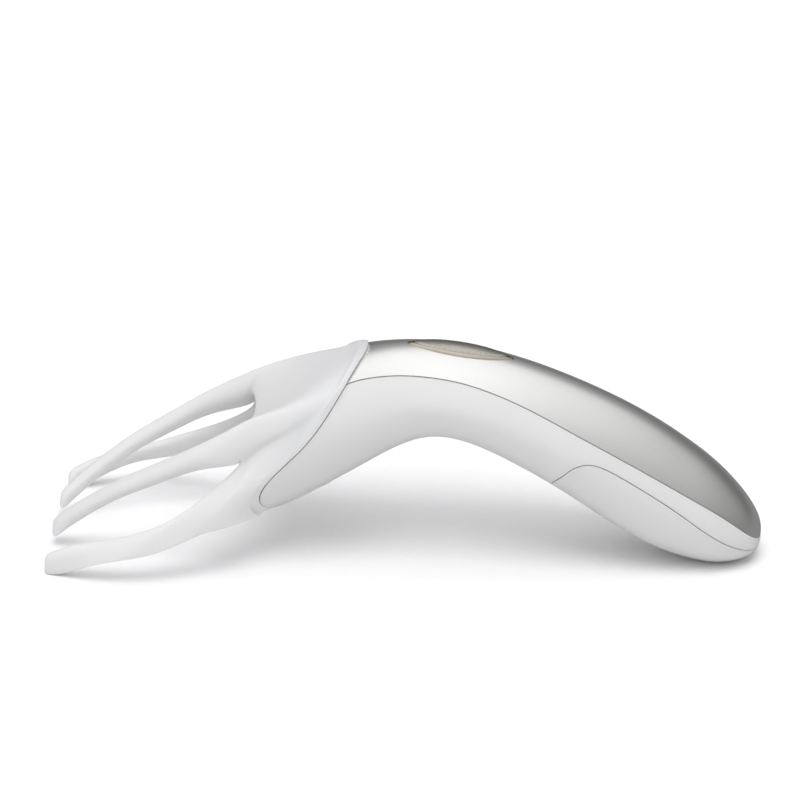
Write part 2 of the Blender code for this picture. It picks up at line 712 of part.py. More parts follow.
def massage_head(finish, regions, ground):
    targets, faces = head_cage()
    cage = through_points(targets, faces)
    head = mesh_object("massage_head", cage, faces, finish)
    smoothing = head.modifiers.new("Smooth form", "SUBSURF")
    smoothing.levels = smoothing.render_levels = HEAD_LEVELS
    combine(head, web_plug("root_web"), "UNION", "MANIFOLD")
    combine(head, wall_band("head_rebate", SHELL_WALL + GAP, regions["around"]), solver="MANIFOLD")
    combine(head, ground, solver="MANIFOLD")
    return head


def housing_ledge(lower):
    """Ledge across the lower housing, above the door's tail end, for the screw that closes the handle."""
    x, level = length_at(LEDGE_SHARE), CREST_HEIGHT * LEDGE_HEIGHT_SHARE
    low = (x - LEDGE_LENGTH / 2, -HANDLE_WIDTH, level - LEDGE_THICKNESS)
    ledge = helper(block("housing_ledge", low, (x + LEDGE_LENGTH / 2, HANDLE_WIDTH, level)))
    combine(ledge, helper(form_loft("ledge_room", SHELL_WALL / 2, length_at(FRONT_SHARE))), "INTERSECT")
    combine(lower, ledge, "UNION")


def housing_screw(lower, top_shell, finish):
    foot = Vector((length_at(LEDGE_SHARE), 0.0, CREST_HEIGHT * LEDGE_HEIGHT_SHARE))
    hang_boss("housing_boss", top_shell, foot, 0.0, (0.0, 0.0), GAP, lower)
    screw("housing_screw", foot, 0.0, (0.0, 0.0), -LEDGE_THICKNESS - GAP, finish)


def handle_shells(finishes, regions, ground):
    front = length_at(FRONT_SHARE)
    cavity = helper(form_loft("shell_cavity", SHELL_WALL, front - OVERRUN / 8))
    top = form_loft("top_shell", 0.0, front, finishes["silver"])
    combine(top, cavity)
    combine(top, regions["above"], "INTERSECT")
    combine(top, regions["behind"], "INTERSECT", "MANIFOLD")
    lower = form_loft("lower_housing", 0.0, front, finishes["white"])
    combine(lower, cavity)
    combine(lower, regions["under"], "INTERSECT")
    combine(lower, regions["behind"], "INTERSECT", "MANIFOLD")
    housing_ledge(lower)
    combine(lower, wall_band("door_band", DOOR_WALL + GAP, regions["door_room"]))
    combine(lower, ground)
    door = form_loft("battery_door", 0.0, front, finishes["white"])
    combine(door, helper(form_loft("door_cavity", DOOR_WALL, front - OVERRUN / 8)))
    combine(door, regions["door"], "INTERSECT")
    combine(door, ground)
    return top, lower, door


def motor_frame():
    """Middle of the motor can, low in the carrier's nose; its local +X points back and up along its axis."""
    x = length_at(MOTOR_SHARE)
    middle, half_height, _ = section(x, HEAD_SLEEVE + CARRIER_CLEARANCE)
    reach = (MOTOR_DIAMETER / 2 + GAP + CRADLE_WALL) / math.cos(MOTOR_TILT)
    return Vector((x, 0.0, middle - half_height + reach))


def head_carrier(finish):
    """Rigid insert: a nose in the head's sleeve, a collar held by the shells, a cradle for the motor."""
    nose_inset = HEAD_SLEEVE + CARRIER_CLEARANCE
    collar_inset = SHELL_WALL + GAP
    front, rear = length_at(CARRIER_FRONT_SHARE), length_at(CARRIER_REAR_SHARE)
    step = length_at(COLLAR_SHARE)
    carrier = form_loft("head_carrier", nose_inset, front, finish, step + CARRIER_WALL)
    combine(carrier, helper(form_loft("carrier_collar", collar_inset, step, None, rear)), "UNION")
    bore = helper(form_loft("carrier_bore", nose_inset + CARRIER_WALL, front - OVERRUN, None, rear + OVERRUN))
    combine(carrier, bore)
    wall_front = length_at(BULKHEAD_SHARE)
    wall_rear = wall_front + BULKHEAD_THICKNESS
    wall = helper(form_loft("bulkhead", nose_inset + CARRIER_WALL / 2, wall_front, None, wall_rear))
    combine(carrier, wall, "UNION")
    spot = motor_frame()
    outer_radius = MOTOR_DIAMETER / 2 + GAP + CRADLE_WALL
    sleeve = helper(rod("cradle", -CRADLE_LENGTH / 2, CRADLE_LENGTH / 2, outer_radius))
    room = helper(form_loft("cradle_room", nose_inset, front, None, rear + OVERRUN))
    combine(place(sleeve, spot, -MOTOR_TILT), room, "INTERSECT")
    combine(carrier, sleeve, "UNION", "MANIFOLD")
    hole = helper(rod("cradle_bore", -OVERRUN, OVERRUN, MOTOR_DIAMETER / 2 + GAP))
    combine(carrier, place(hole, spot, -MOTOR_TILT), solver="MANIFOLD")


def motor_pieces(finishes):
    spot = motor_frame()
    half = MOTOR_LENGTH / 2
    chamfer = MOTOR_DIAMETER / 20
    radius = MOTOR_DIAMETER / 2
    profile = [
        (-half, 0.0), (-half, radius - chamfer), (-half + chamfer, radius),
        (half - chamfer, radius), (half, radius - chamfer), (half, 0.0),
    ]
    can = turned("motor_can", profile, finishes["steel"])
    bore = helper(rod("shaft_bore", -half - OVERRUN, 0.0, SHAFT_DIAMETER / 2 + GAP, None, SMALL_SIDES))
    combine(can, place(bore, spot, -MOTOR_TILT))
    place(can, spot, -MOTOR_TILT)
    start, shaft_radius = half + GAP, SHAFT_DIAMETER / 2
    cap = rod("motor_end_cap", start, start + END_CAP_THICKNESS, END_CAP_DIAMETER / 2, finishes["white"])
    place(cap, spot, -MOTOR_TILT)
    shaft = rod("motor_shaft", -half - SHAFT_LENGTH, -half / 2, shaft_radius, finishes["steel"], SMALL_SIDES)
    place(shaft, spot, -MOTOR_TILT)
    weight_end = -half - WEIGHT_CLEARANCE
    weight = half_disc("eccentric_weight", weight_end - WEIGHT_LENGTH, weight_end, finishes["brass"])
    place(weight, spot, -MOTOR_TILT)
    bore = helper(rod("weight_bore", -half - OVERRUN, -half, shaft_radius + HUB_CLEARANCE, None, SMALL_SIDES))
    combine(weight, place(bore, spot, -MOTOR_TILT))


def half_disc(name, start, end, finish):
    """Half a disc hanging from a round hub on the motor's axis."""
    upper = np.linspace(0.0, math.pi, SMALL_SIDES // 2)
    under = np.linspace(math.pi, 2 * math.pi, ROUND_SIDES // 2)
    outline = [(HUB_RADIUS * math.cos(a), HUB_RADIUS * math.sin(a)) for a in upper]
    outline += [(WEIGHT_RADIUS * math.cos(a), WEIGHT_RADIUS * math.sin(a)) for a in under]
    return loft(name, [[Vector((x, y, z)) for y, z in outline] for x in (start, end)], finish)


def board_frame():
    axis = button_axis()
    spot = crest_point(length_at(BUTTON_SHARE), 0.0) - axis * BOARD_DEPTH
    return spot, math.atan2(axis.x, axis.z)


def board_ends():
    """Places of the board's two ends in its frame: it starts right behind the carrier."""
    spot, tilt = board_frame()
    front = (length_at(CARRIER_REAR_SHARE) + BOARD_CLEARANCE - spot.x) / math.cos(tilt)
    return front, front + BOARD_LENGTH


def board_pieces(finishes, top_shell):
    """Circuit board hung under the button from two bosses of the top shell, with what is soldered to it."""
    spot, tilt = board_frame()
    (front, rear), side = board_ends(), BOARD_WIDTH / 2
    board = block("circuit_board", (front, -side, -BOARD_THICKNESS), (rear, side, 0.0), finishes["board"])
    place(board, spot, tilt)
    reach = SWITCH_SIZE / 2
    switch_top = GAP + SWITCH_HEIGHT
    switch = block("switch_body", (-reach, -reach, GAP), (reach, reach, switch_top), finishes["black"])
    place(switch, spot, tilt)
    radius, plunger_top = PLUNGER_DIAMETER / 2, BOARD_DEPTH - BUTTON_DEPTH - GAP
    sunk = switch_top - BUTTON_TRAVEL - 2 * GAP
    plunger = upright("switch_plunger", sunk, plunger_top, radius, finishes["black"])
    place(plunger, spot, tilt)
    well = helper(upright("plunger_well", sunk - BUTTON_TRAVEL - GAP, plunger_top, radius + GAP))
    combine(switch, place(well, spot, tilt))
    length, width, height = CHIP_SIZE
    middle = (reach + rear - BOARD_SCREW_INSET) / 2
    chip_low = (middle - length / 2, -width / 2, GAP)
    chip_high = (middle + length / 2, width / 2, GAP + height)
    place(block("control_chip", chip_low, chip_high, finishes["black"]), spot, tilt)
    top, radius = -BOARD_THICKNESS - GAP, CAPACITOR_DIAMETER / 2
    capacitor = upright("motor_capacitor", top - CAPACITOR_LENGTH, top, radius, finishes["cell"])
    place(capacitor, local_point(spot, tilt, rear - CAPACITOR_INSET, 0.0, 0.0), tilt)
    screw_places = ("front", front + BOARD_SCREW_INSET, -1), ("rear", rear - BOARD_SCREW_INSET, 1)
    for name, along, side in screw_places:
        at = (along, side * BOARD_SCREW_PITCH / 2)
        hang_boss("board_boss_" + name, top_shell, spot, tilt, at, GAP, board)
        screw("board_screw_" + name, spot, tilt, at, -BOARD_THICKNESS - GAP, finishes["steel"])


def upright(name, low, high, radius, finish=None, sides=ROUND_SIDES // 2):
    """Round piece standing along local Z."""
    rings = []
    for z in (low, high):
        angles = [2 * math.pi * i / sides for i in range(sides)]
        rings.append([Vector((radius * math.cos(a), radius * math.sin(a), z)) for a in angles])
    return loft(name, rings, finish)


def local_point(spot, tilt, along, across, height):
    return spot + Matrix.Rotation(tilt, 3, "Y") @ Vector((along, across, height))


def hang_boss(name, top_shell, spot, tilt, at, low, carried):
    """Screw boss from the top shell down to the piece that it carries, with a clear bore through both."""
    foot = local_point(spot, tilt, *at, 0.0)
    boss = place(helper(upright(name, low, OVERRUN, BOSS_DIAMETER / 2)), foot, tilt)
    combine(boss, bpy.data.objects["ledge_room"], "INTERSECT")
    combine(top_shell, boss, "UNION", "MANIFOLD")
    radius = SCREW_DIAMETER / 2 + GAP
    bore = helper(upright(name + "_bore", -OVERRUN, low + SCREW_LENGTH, radius, None, SMALL_SIDES))
    place(bore, foot, tilt)
    combine(top_shell, bore, solver="MANIFOLD")
    combine(carried, bore)


def screw(name, spot, tilt, at, seat, finish):
    """Pan-head screw whose head bears up against the seat."""
    radius, head = SCREW_DIAMETER / 2, SCREW_HEAD_DIAMETER / 2
    shank = SCREW_LENGTH - 2 * GAP
    rings = []
    crown = SCREW_HEAD_HEIGHT
    profile = [(shank, radius / 2), (shank - radius, radius), (0.0, radius), (0.0, head)]
    profile += [(-crown / 2, head), (-crown, SCREW_CROWN_SHARE * head)]
    for z, r in profile:
        angles = [2 * math.pi * i / SMALL_SIDES for i in range(SMALL_SIDES)]
        rings.append([Vector((r * math.cos(a), r * math.sin(a), z)) for a in angles])
    foot = local_point(spot, tilt, *at, seat)
    made = place(loft(name, rings, finish), foot, tilt)
    slot_low = (-head - OVERRUN / 8, -SCREW_SLOT_WIDTH / 2, -crown - OVERRUN / 8)
    slot_high = (-slot_low[0], SCREW_SLOT_WIDTH / 2, SCREW_SLOT_DEPTH - crown)
    slot = helper(block(name + "_slot", slot_low, slot_high))
    combine(made, place(slot, foot, tilt))


def bay_frame():
    x = length_at(BAY_SHARE)
    return Vector((x, 0.0, section(x)[0] - BAY_DROP))


def battery_pieces(finishes, top_shell):
    """Two cells side by side in a tray that hangs from the top shell, with their contacts."""
    spot = bay_frame()
    radius, half = CELL_DIAMETER / 2, CELL_LENGTH / 2
    for name, side, sign in (("cell_left", -1, 1), ("cell_right", 1, -1)):
        nub, shoulder = CELL_NUB_DIAMETER / 2, half - CELL_NUB_LENGTH
        profile = [(-half, 0.0), (-half, radius - nub / 4), (-half + nub / 4, radius)]
        profile += [(shoulder, radius), (shoulder, nub), (half, nub), (half, 0.0)]
        cell = turned(name, [(sign * a, r) for a, r in profile], finishes["cell"])
        place(cell, spot + Vector((0.0, side * CELL_PITCH / 2, 0.0)), BAY_TILT)
    inside_length = half + CONTACT_SPACE
    inside_width = CELL_PITCH / 2 + radius + GAP
    ceiling = radius + GAP
    outer = (-inside_length - TRAY_WALL, -inside_width - TRAY_WALL, ceiling - TRAY_DEPTH)
    tray = block("battery_tray", outer, (-outer[0], -outer[1], ceiling + TRAY_WALL), finishes["white"])
    inside_low = (-inside_length, -inside_width, outer[2] - OVERRUN)
    inside = helper(block("tray_inside", inside_low, (inside_length, inside_width, ceiling)))
    combine(tray, place(inside, spot, BAY_TILT))
    place(tray, spot, BAY_TILT)
    for name, along, width, middle in (
        ("positive_plate", -1, CONTACT_WIDTH, CELL_PITCH / 2),
        ("negative_plate", -1, CONTACT_WIDTH, -CELL_PITCH / 2),
        ("bridge_plate", 1, CONTACT_WIDTH + CELL_PITCH, 0.0),
    ):
        far = inside_length - GAP
        ends = sorted((along * far, along * (far - CONTACT_THICKNESS)))
        low = (ends[0], middle - width / 2, -CONTACT_HEIGHT / 2)
        plate = block(name, low, (ends[1], middle + width / 2, CONTACT_HEIGHT / 2), finishes["steel"])
        place(plate, spot, BAY_TILT)
    contact_face = inside_length - GAP - CONTACT_THICKNESS
    for name, along, side in (("negative_spring", -1, -1), ("bridge_spring", 1, 1)):
        coil_spring(name, spot, along, side, contact_face, half, finishes["steel"])
    for name, along in (("front", -1), ("rear", 1)):
        place_along = along * (inside_length - BOSS_DIAMETER)
        seat = ceiling + TRAY_WALL + GAP
        hang_boss("tray_boss_" + name, top_shell, spot, BAY_TILT, (place_along, 0.0), seat, tray)
        screw("tray_screw_" + name, spot, BAY_TILT, (place_along, 0.0), ceiling - GAP, finishes["steel"])


def coil_spring(name, spot, along, side, contact_face, cell_end, finish):
    """Conical coil between a contact plate and the flat end of a cell."""
    start = contact_face - GAP - SPRING_WIRE / 2
    end = cell_end + GAP + SPRING_WIRE / 2
    turn = Matrix.Rotation(BAY_TILT, 3, "Y")
    points = []
    total = SPRING_TURNS * SPRING_POINTS
    for i in range(total + 1):
        part = i / total
        diameter = SPRING_FOOT_DIAMETER + (SPRING_TOP_DIAMETER - SPRING_FOOT_DIAMETER) * part
        radius = (diameter - SPRING_WIRE) / 2
        angle = 2 * math.pi * i / SPRING_POINTS
        across = side * CELL_PITCH / 2 + radius * math.cos(angle)
        local = Vector((along * (start + (end - start) * part), across, radius * math.sin(angle)))
        points.append(spot + turn @ local)
    return tube(name, points, SPRING_WIRE, finish)


def lead(name, points, finish):
    """Insulated wire along a smooth run through a few chosen points."""
    run = smooth_path([tuple(p) for p in points], LEAD_POINTS)
    return tube(name, [Vector(p) for p in run], WIRE_DIAMETER, finish)


def leads(finishes):
    """Two leads from the motor to the board, and two from the battery contacts to the board."""
    motor, board, bay = motor_frame(), board_frame(), bay_frame()
    cap_end = MOTOR_LENGTH / 2 + 2 * GAP + END_CAP_THICKNESS
    under = -BOARD_THICKNESS - GAP
    plate = -(CELL_LENGTH / 2 + CONTACT_SPACE + TRAY_WALL)
    rear = board_ends()[1] - BATTERY_LEAD_INSET
    for name, side, colour in (("red", 1, "red"), ("black", -1, "black")):
        start = local_point(motor, -MOTOR_TILT, cap_end, side * MOTOR_LEAD_PITCH / 2, 0.0)
        away = local_point(motor, -MOTOR_TILT, cap_end + LEAD_BEND, side * MOTOR_LEAD_PITCH / 2, 0.0)
        below = local_point(*board, -MOTOR_LEAD_PLACE, side * MOTOR_LEAD_PITCH / 2, under - LEAD_BEND)
        end = local_point(*board, -MOTOR_LEAD_PLACE, side * MOTOR_LEAD_PITCH / 2, under)
        lead("motor_lead_" + name, (start, away, below, end), finishes[colour])
        across = side * CELL_PITCH / 2
        start = local_point(bay, BAY_TILT, plate - GAP, across, 0.0)
        away = local_point(bay, BAY_TILT, plate - GAP - LEAD_BEND, across, 0.0)
        inward = side * BATTERY_LEAD_PITCH / 2
        below = local_point(*board, rear, inward, under - LEAD_BEND)
        end = local_point(*board, rear, inward, under)
        lead("battery_lead_" + name, (start, away, below, end), finishes[colour])


def build():
    clear_scene()
    finishes = {
        "silver": material("silver paint", (0.62, 0.62, 0.58), 0.28, 0.85),
        "white": material("white ABS", (0.86, 0.86, 0.85), 0.35),
        "soft": material("milky elastomer", (0.86, 0.87, 0.87), 0.45, 0.0, 0.2),
        "button": material("button paint", (0.42, 0.41, 0.37), 0.3, 0.8),
        "bezel": material("bezel chrome", (0.72, 0.70, 0.63), 0.15, 1.0),
        "steel": material("plated steel", (0.65, 0.65, 0.66), 0.3, 1.0),
        "brass": material("brass", (0.71, 0.55, 0.26), 0.35, 1.0),
        "board": material("circuit board", (0.05, 0.25, 0.12), 0.5),
        "black": material("black plastic", (0.03, 0.03, 0.03), 0.45),
        "cell": material("cell jacket", (0.10, 0.12, 0.15), 0.35, 0.2),
        "red": material("red insulation", (0.55, 0.04, 0.03), 0.5),
    }
    regions = side_regions()
    ground = ground_cutter()
    top, lower, _ = handle_shells(finishes, regions, ground)
    massage_head(finishes["soft"], regions, ground)
    head_carrier(finishes["white"])
    motor_pieces(finishes)
    button_pieces(finishes, top)
    board_pieces(finishes, top)
    battery_pieces(finishes, top)
    housing_screw(lower, top, finishes["steel"])
    leads(finishes)


build()
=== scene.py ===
import json
import math

import bmesh
import bpy
import numpy as np
from mathutils import Matrix, Vector


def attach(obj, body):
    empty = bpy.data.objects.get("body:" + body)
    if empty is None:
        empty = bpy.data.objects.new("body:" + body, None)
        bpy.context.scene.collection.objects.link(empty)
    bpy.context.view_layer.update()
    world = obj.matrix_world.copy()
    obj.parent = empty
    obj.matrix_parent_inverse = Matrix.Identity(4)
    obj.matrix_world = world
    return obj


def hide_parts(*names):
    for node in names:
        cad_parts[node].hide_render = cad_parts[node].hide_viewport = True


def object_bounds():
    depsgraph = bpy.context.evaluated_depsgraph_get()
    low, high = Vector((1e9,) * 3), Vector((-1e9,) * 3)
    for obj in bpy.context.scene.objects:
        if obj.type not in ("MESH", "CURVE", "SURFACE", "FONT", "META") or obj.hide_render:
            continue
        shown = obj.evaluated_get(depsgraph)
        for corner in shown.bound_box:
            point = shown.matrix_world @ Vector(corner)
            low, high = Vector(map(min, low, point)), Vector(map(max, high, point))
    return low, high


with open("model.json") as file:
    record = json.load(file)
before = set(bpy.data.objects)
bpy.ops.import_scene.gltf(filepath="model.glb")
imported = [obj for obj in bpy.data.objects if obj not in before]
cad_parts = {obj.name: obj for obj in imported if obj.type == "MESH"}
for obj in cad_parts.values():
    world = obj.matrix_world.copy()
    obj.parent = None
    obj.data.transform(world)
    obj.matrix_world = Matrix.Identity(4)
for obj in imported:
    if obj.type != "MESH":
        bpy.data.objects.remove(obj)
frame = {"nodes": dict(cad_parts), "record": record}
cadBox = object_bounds()
print("stage: frame loaded")

# The handle's oval form, in shares of its length, height and width
form = {
    "length": 0.214,
    "crestHeight": 0.065,
    "width": 0.040,
    "headSpread": 0.073,
    "crest": [(0.280, 0.792), (0.327, 0.868), (0.397, 0.949), (0.453, 1.001), (0.533, 1.024),
              (0.631, 0.977), (0.748, 0.843), (0.864, 0.640), (0.949, 0.427), (1.000, 0.285)],
    "keel": [(0.280, 0.146), (0.327, 0.215), (0.397, 0.338), (0.453, 0.454), (0.533, 0.585),
             (0.631, 0.508), (0.748, 0.277), (0.841, 0.080), (0.925, -0.008), (1.000, -0.040)],
    "widths": [(0.280, 1.350), (0.374, 1.125), (0.453, 0.975), (0.533, 0.950), (0.631, 0.975),
               (0.748, 1.000), (0.864, 0.950), (0.949, 0.825), (1.000, 0.725)],
    "narrowing": [(0.280, 0.00), (0.400, 0.05), (0.460, 0.22), (0.520, 0.38), (0.600, 0.40),
                  (0.750, 0.34), (0.900, 0.24), (1.000, 0.20)],
    "noseLength": 0.021,
    "nosePower": 2.6,
    "noseClose": 0.99,  # share of the nose's quarter turn where the last ring closes it
    "front": 0.290,
    "stations": 130,
    "noseStations": 22,
    "sides": 112,
    "slopeReach": 0.01,  # share of the length over which the form's slope is read
    "crestRounds": 14,
    "wall": 0.0020,
    "doorWall": 0.0018,
    "gap": 0.0003,
    "overrun": 0.020,
    "bandOverrun": 0.005,
    "frontOverrun": 0.0025,
}

# Lines on the handle in side view, in shares of its length and crest height
lines = {
    "parting": [(0.250, 0.690), (0.388, 0.838), (0.423, 0.897), (0.450, 0.922), (0.480, 0.937),
                (0.512, 0.943), (0.541, 0.940), (0.583, 0.921), (0.625, 0.882), (0.665, 0.831),
                (0.749, 0.692), (0.825, 0.553), (0.900, 0.403), (0.938, 0.319), (0.962, 0.254),
                (0.984, 0.182), (1.000, 0.124), (1.040, -0.030)],
    "seam": [(0.463, 1.120), (0.448, 1.010), (0.437, 0.966), (0.422, 0.897), (0.403, 0.800),
             (0.367, 0.638), (0.329, 0.511), (0.309, 0.425), (0.304, 0.374), (0.308, 0.308),
             (0.318, 0.274), (0.336, 0.291), (0.357, 0.332), (0.376, 0.361), (0.395, 0.363),
             (0.405, 0.315), (0.409, 0.200)],
    "door": [(0.708, -0.100), (0.710, 0.345), (0.713, 0.453), (0.719, 0.480), (0.728, 0.512),
             (0.737, 0.543), (0.750, 0.567), (0.764, 0.572), (0.779, 0.559), (0.801, 0.522),
             (0.836, 0.451), (0.890, 0.327), (0.966, 0.130), (0.988, 0.086), (1.030, 0.020)],
    "points": 150,
}


def naturalCubic(knots):  # the smooth curve through pairs of place and value
    table = np.array(knots, float)
    x, y = table[:, 0], table[:, 1]
    step = np.diff(x)
    count = len(x)
    system, right = np.eye(count), np.zeros(count)
    for i in range(1, count - 1):
        system[i, i - 1:i + 2] = step[i - 1], 2 * (step[i - 1] + step[i]), step[i]
        right[i] = 6 * ((y[i + 1] - y[i]) / step[i] - (y[i] - y[i - 1]) / step[i - 1])
    bend = np.linalg.solve(system, right)

    def valueAt(at):
        i = np.clip(np.searchsorted(x, at) - 1, 0, count - 2)
        along = at - x[i]
        slope = (y[i + 1] - y[i]) / step[i] - step[i] * (2 * bend[i] + bend[i + 1]) / 6
        turn = (bend[i + 1] - bend[i]) / (6 * step[i])
        return y[i] + along * (slope + along * (bend[i] / 2 + along * turn))

    return valueAt


crestCurve = naturalCubic(form["crest"])
keelCurve = naturalCubic(form["keel"])
widthCurve = naturalCubic(form["widths"])
narrowingCurve = naturalCubic(form["narrowing"])


def lengthAt(share):
    return (share - 0.5) * form["length"]


def shareAt(x):
    return x / form["length"] + 0.5


def smoothPath(points, count):
    chosen = np.array(points, float)
    run = np.concatenate([[0.0], np.cumsum(np.linalg.norm(np.diff(chosen, axis=0), axis=1))])
    spots = np.linspace(0.0, run[-1], count)
    columns = [naturalCubic(np.column_stack([run, chosen[:, k]]))(spots) for k in range(chosen.shape[1])]
    return np.array(columns).T


def sectionAt(x, inset=0.0):
    share, near = shareAt(x), form["slopeReach"]
    height = form["crestHeight"]
    top, low = height * crestCurve(share), height * keelCurve(share)
    ahead = crestCurve(share + near) + keelCurve(share + near)
    rise = ahead - crestCurve(share - near) - keelCurve(share - near)
    slope = height * rise / (4 * near * form["length"])
    nose = form["length"] / 2 - inset - form["noseLength"]
    along = min(1.0, max(0.0, (x - nose) / form["noseLength"]))
    rounding = (1 - along ** form["nosePower"]) ** (1 / form["nosePower"])
    halfHeight = (top - low) / 2 - inset * math.hypot(1.0, slope)
    halfWidth = form["width"] / 2 * widthCurve(share) - inset
    return (top + low) / 2, halfHeight * rounding, halfWidth * rounding


def formPoint(x, degrees, inset=0.0):  # 90 degrees is the crest, 0 the near side, -90 the keel
    middle, halfHeight, halfWidth = sectionAt(x, inset)
    angle = math.radians(degrees)
    narrowing = narrowingCurve(shareAt(x)) * max(0.0, math.sin(angle)) ** 2
    return Vector((x, -halfWidth * math.cos(angle) * (1 - narrowing), middle + halfHeight * math.sin(angle)))


def crestPoint(x, y):
    middle, halfHeight, halfWidth = sectionAt(x)
    narrowing = narrowingCurve(shareAt(x))
    across = cosine = y / halfWidth
    for _ in range(form["crestRounds"]):
        cosine = across / (1 - narrowing * (1 - cosine ** 2))
    return Vector((x, y, middle + halfHeight * math.sqrt(max(0.0, 1 - cosine ** 2))))


def meshObject(name, points, faces):
    mesh = bpy.data.meshes.new(name)
    mesh.from_pydata([tuple(p) for p in points], [], faces)
    shape = bmesh.new()
    shape.from_mesh(mesh)
    bmesh.ops.recalc_face_normals(shape, faces=shape.faces)
    shape.to_mesh(mesh)
    shape.free()
    made = bpy.data.objects.new(name, mesh)
    bpy.context.scene.collection.objects.link(made)
    return made


def loft(name, rings):
    count = len(rings[0])
    points = [p for ring in rings for p in ring]
    faces = [tuple(range(count)), tuple(range(len(points) - count, len(points)))]
    for r in range(len(rings) - 1):
        for i in range(count):
            j = (i + 1) % count
            a, b = r * count, (r + 1) * count
            faces.append((a + i, a + j, b + j, b + i))
    return meshObject(name, points, faces)


def formLoft(name, inset, front):
    sides = form["sides"]
    nose = form["length"] / 2 - inset - form["noseLength"]
    spots = list(np.linspace(front, nose, form["stations"], endpoint=False))
    turn = np.linspace(0.0, form["noseClose"], form["noseStations"]) * math.pi / 2
    spots += [nose + form["noseLength"] * math.sin(t) for t in turn]
    angles = [90.0 - 360.0 * i / sides for i in range(sides)]
    rings = [[formPoint(x, a, inset) for a in angles] for x in spots]
    for ring in rings:
        for p in ring:
            p.x = min(p.x, cadBox[1][0] - inset)
    return loft(name, rings)


def prism(name, outline, halfWidth):
    near = [Vector((x, -halfWidth, z)) for x, z in outline]
    far = [Vector((x, halfWidth, z)) for x, z in outline]
    return loft(name, [near, far])


def block(name, low, high):
    spans = list(zip(low, high))
    corners = [Vector((x, y, z)) for x in spans[0] for y in spans[1] for z in spans[2]]
    faces = [(0, 1, 3, 2), (4, 6, 7, 5), (0, 4, 5, 1), (2, 3, 7, 6), (0, 2, 6, 4), (1, 5, 7, 3)]
    return meshObject(name, corners, faces)


def offsetLine(line, distance):
    line = np.array(line)
    tangent = np.gradient(line, axis=0)
    tangent /= np.linalg.norm(tangent, axis=1)[:, None]
    return line + distance * np.column_stack([-tangent[:, 1], tangent[:, 0]])


def combine(piece, other, operation="DIFFERENCE", solver="EXACT"):
    step = piece.modifiers.new(operation.title() + " " + other.name, "BOOLEAN")
    step.operation = operation
    step.object = other
    step.solver = solver


def bake(piece):
    evaluated = piece.evaluated_get(bpy.context.evaluated_depsgraph_get())
    piece.data = bpy.data.meshes.new_from_object(evaluated)
    piece.modifiers.clear()
    return piece


def tidyShell(piece, sharp=34.0, merge=0.00002):
    shape = bmesh.new()
    shape.from_mesh(piece.data)
    bmesh.ops.remove_doubles(shape, verts=shape.verts, dist=merge)
    bmesh.ops.dissolve_degenerate(shape, edges=shape.edges, dist=merge)
    shape.to_mesh(piece.data)
    shape.free()
    piece.data.shade_smooth()
    piece.data.set_sharp_from_angle(angle=math.radians(sharp))


def removeHelpers(*helpers):
    for old in helpers:
        bpy.data.objects.remove(old, do_unlink=True)


def hexColour(code):  # sRGB to linear
    channels = [int(code[i:i + 2], 16) / 255 for i in (1, 3, 5)]
    return (*[c / 12.92 if c <= 0.04045 else ((c + 0.055) / 1.055) ** 2.4 for c in channels], 1.0)


def addNode(tree, kind, inputs=None, **settings):
    node = tree.nodes.new(kind)
    for key, value in settings.items():
        setattr(node, key, value)
    for key, value in (inputs or {}).items():
        if isinstance(value, bpy.types.NodeSocket):
            tree.links.new(value, node.inputs[key])
        else:
            node.inputs[key].default_value = value
    return node


def newMaterial(name):
    made = bpy.data.materials.new(name)
    made.use_nodes = True
    tree = made.node_tree
    tree.nodes.clear()
    shader = addNode(tree, "ShaderNodeBsdfPrincipled")
    addNode(tree, "ShaderNodeOutputMaterial", {"Surface": shader.outputs["BSDF"]})
    place = addNode(tree, "ShaderNodeTexCoord").outputs["Object"]
    return made, tree, shader, place


def setShader(shader, **values):
    for key, value in values.items():
        shader.inputs[key.replace("_", " ")].default_value = value


def addTones(tree, shader, tonePattern, tones, glossPattern, roughness):
    # The colour runs between two tones and the roughness between two values, each by its pattern
    levels = {0: tonePattern, 6: hexColour(tones[0]), 7: hexColour(tones[1])}
    colour = addNode(tree, "ShaderNodeMix", levels, data_type="RGBA").outputs[2]
    tree.links.new(colour, shader.inputs["Base Color"])
    levels = {"Value": glossPattern, "To Min": roughness[0], "To Max": roughness[1]}
    gloss = addNode(tree, "ShaderNodeMapRange", levels).outputs["Result"]
    tree.links.new(gloss, shader.inputs["Roughness"])


millimetresPerMetre = 1000.0


def grained(name, tones, toneGrain, roughness, glossGrain, bump, bumpGrain, **values):
    # A grain is its width in millimetres and its detail, and bump is its strength and height
    made, tree, shader, place = newMaterial(name)
    noises = {}
    for width, detail in dict.fromkeys((toneGrain, glossGrain, bumpGrain)):
        grain = {"Vector": place, "Scale": millimetresPerMetre / width, "Detail": detail}
        noises[width, detail] = addNode(tree, "ShaderNodeTexNoise", grain).outputs["Fac"]
    addTones(tree, shader, noises[toneGrain], tones, noises[glossGrain], roughness)
    relief = {"Height": noises[bumpGrain], "Strength": bump[0], "Distance": bump[1]}
    tree.links.new(addNode(tree, "ShaderNodeBump", relief).outputs["Normal"], shader.inputs["Normal"])
    setShader(shader, **values)
    return made


def whiteAbs():
    # Injection-moulded ABS off a polished tool: an even soft gloss with the faintest waviness
    return grained("white ABS, moulded", tones=("#d9d9d8", "#dddddc"), toneGrain=(26.0, 2.0),
                   roughness=(0.36, 0.44), glossGrain=(4.0, 2.0), bump=(0.06, 0.0002), bumpGrain=(1.6, 4.0),
                   IOR=1.53, Coat_Weight=0.12, Coat_Roughness=0.18, Subsurface_Weight=0.25,
                   Subsurface_Scale=0.004, Subsurface_Radius=(1.0, 1.0, 1.0))


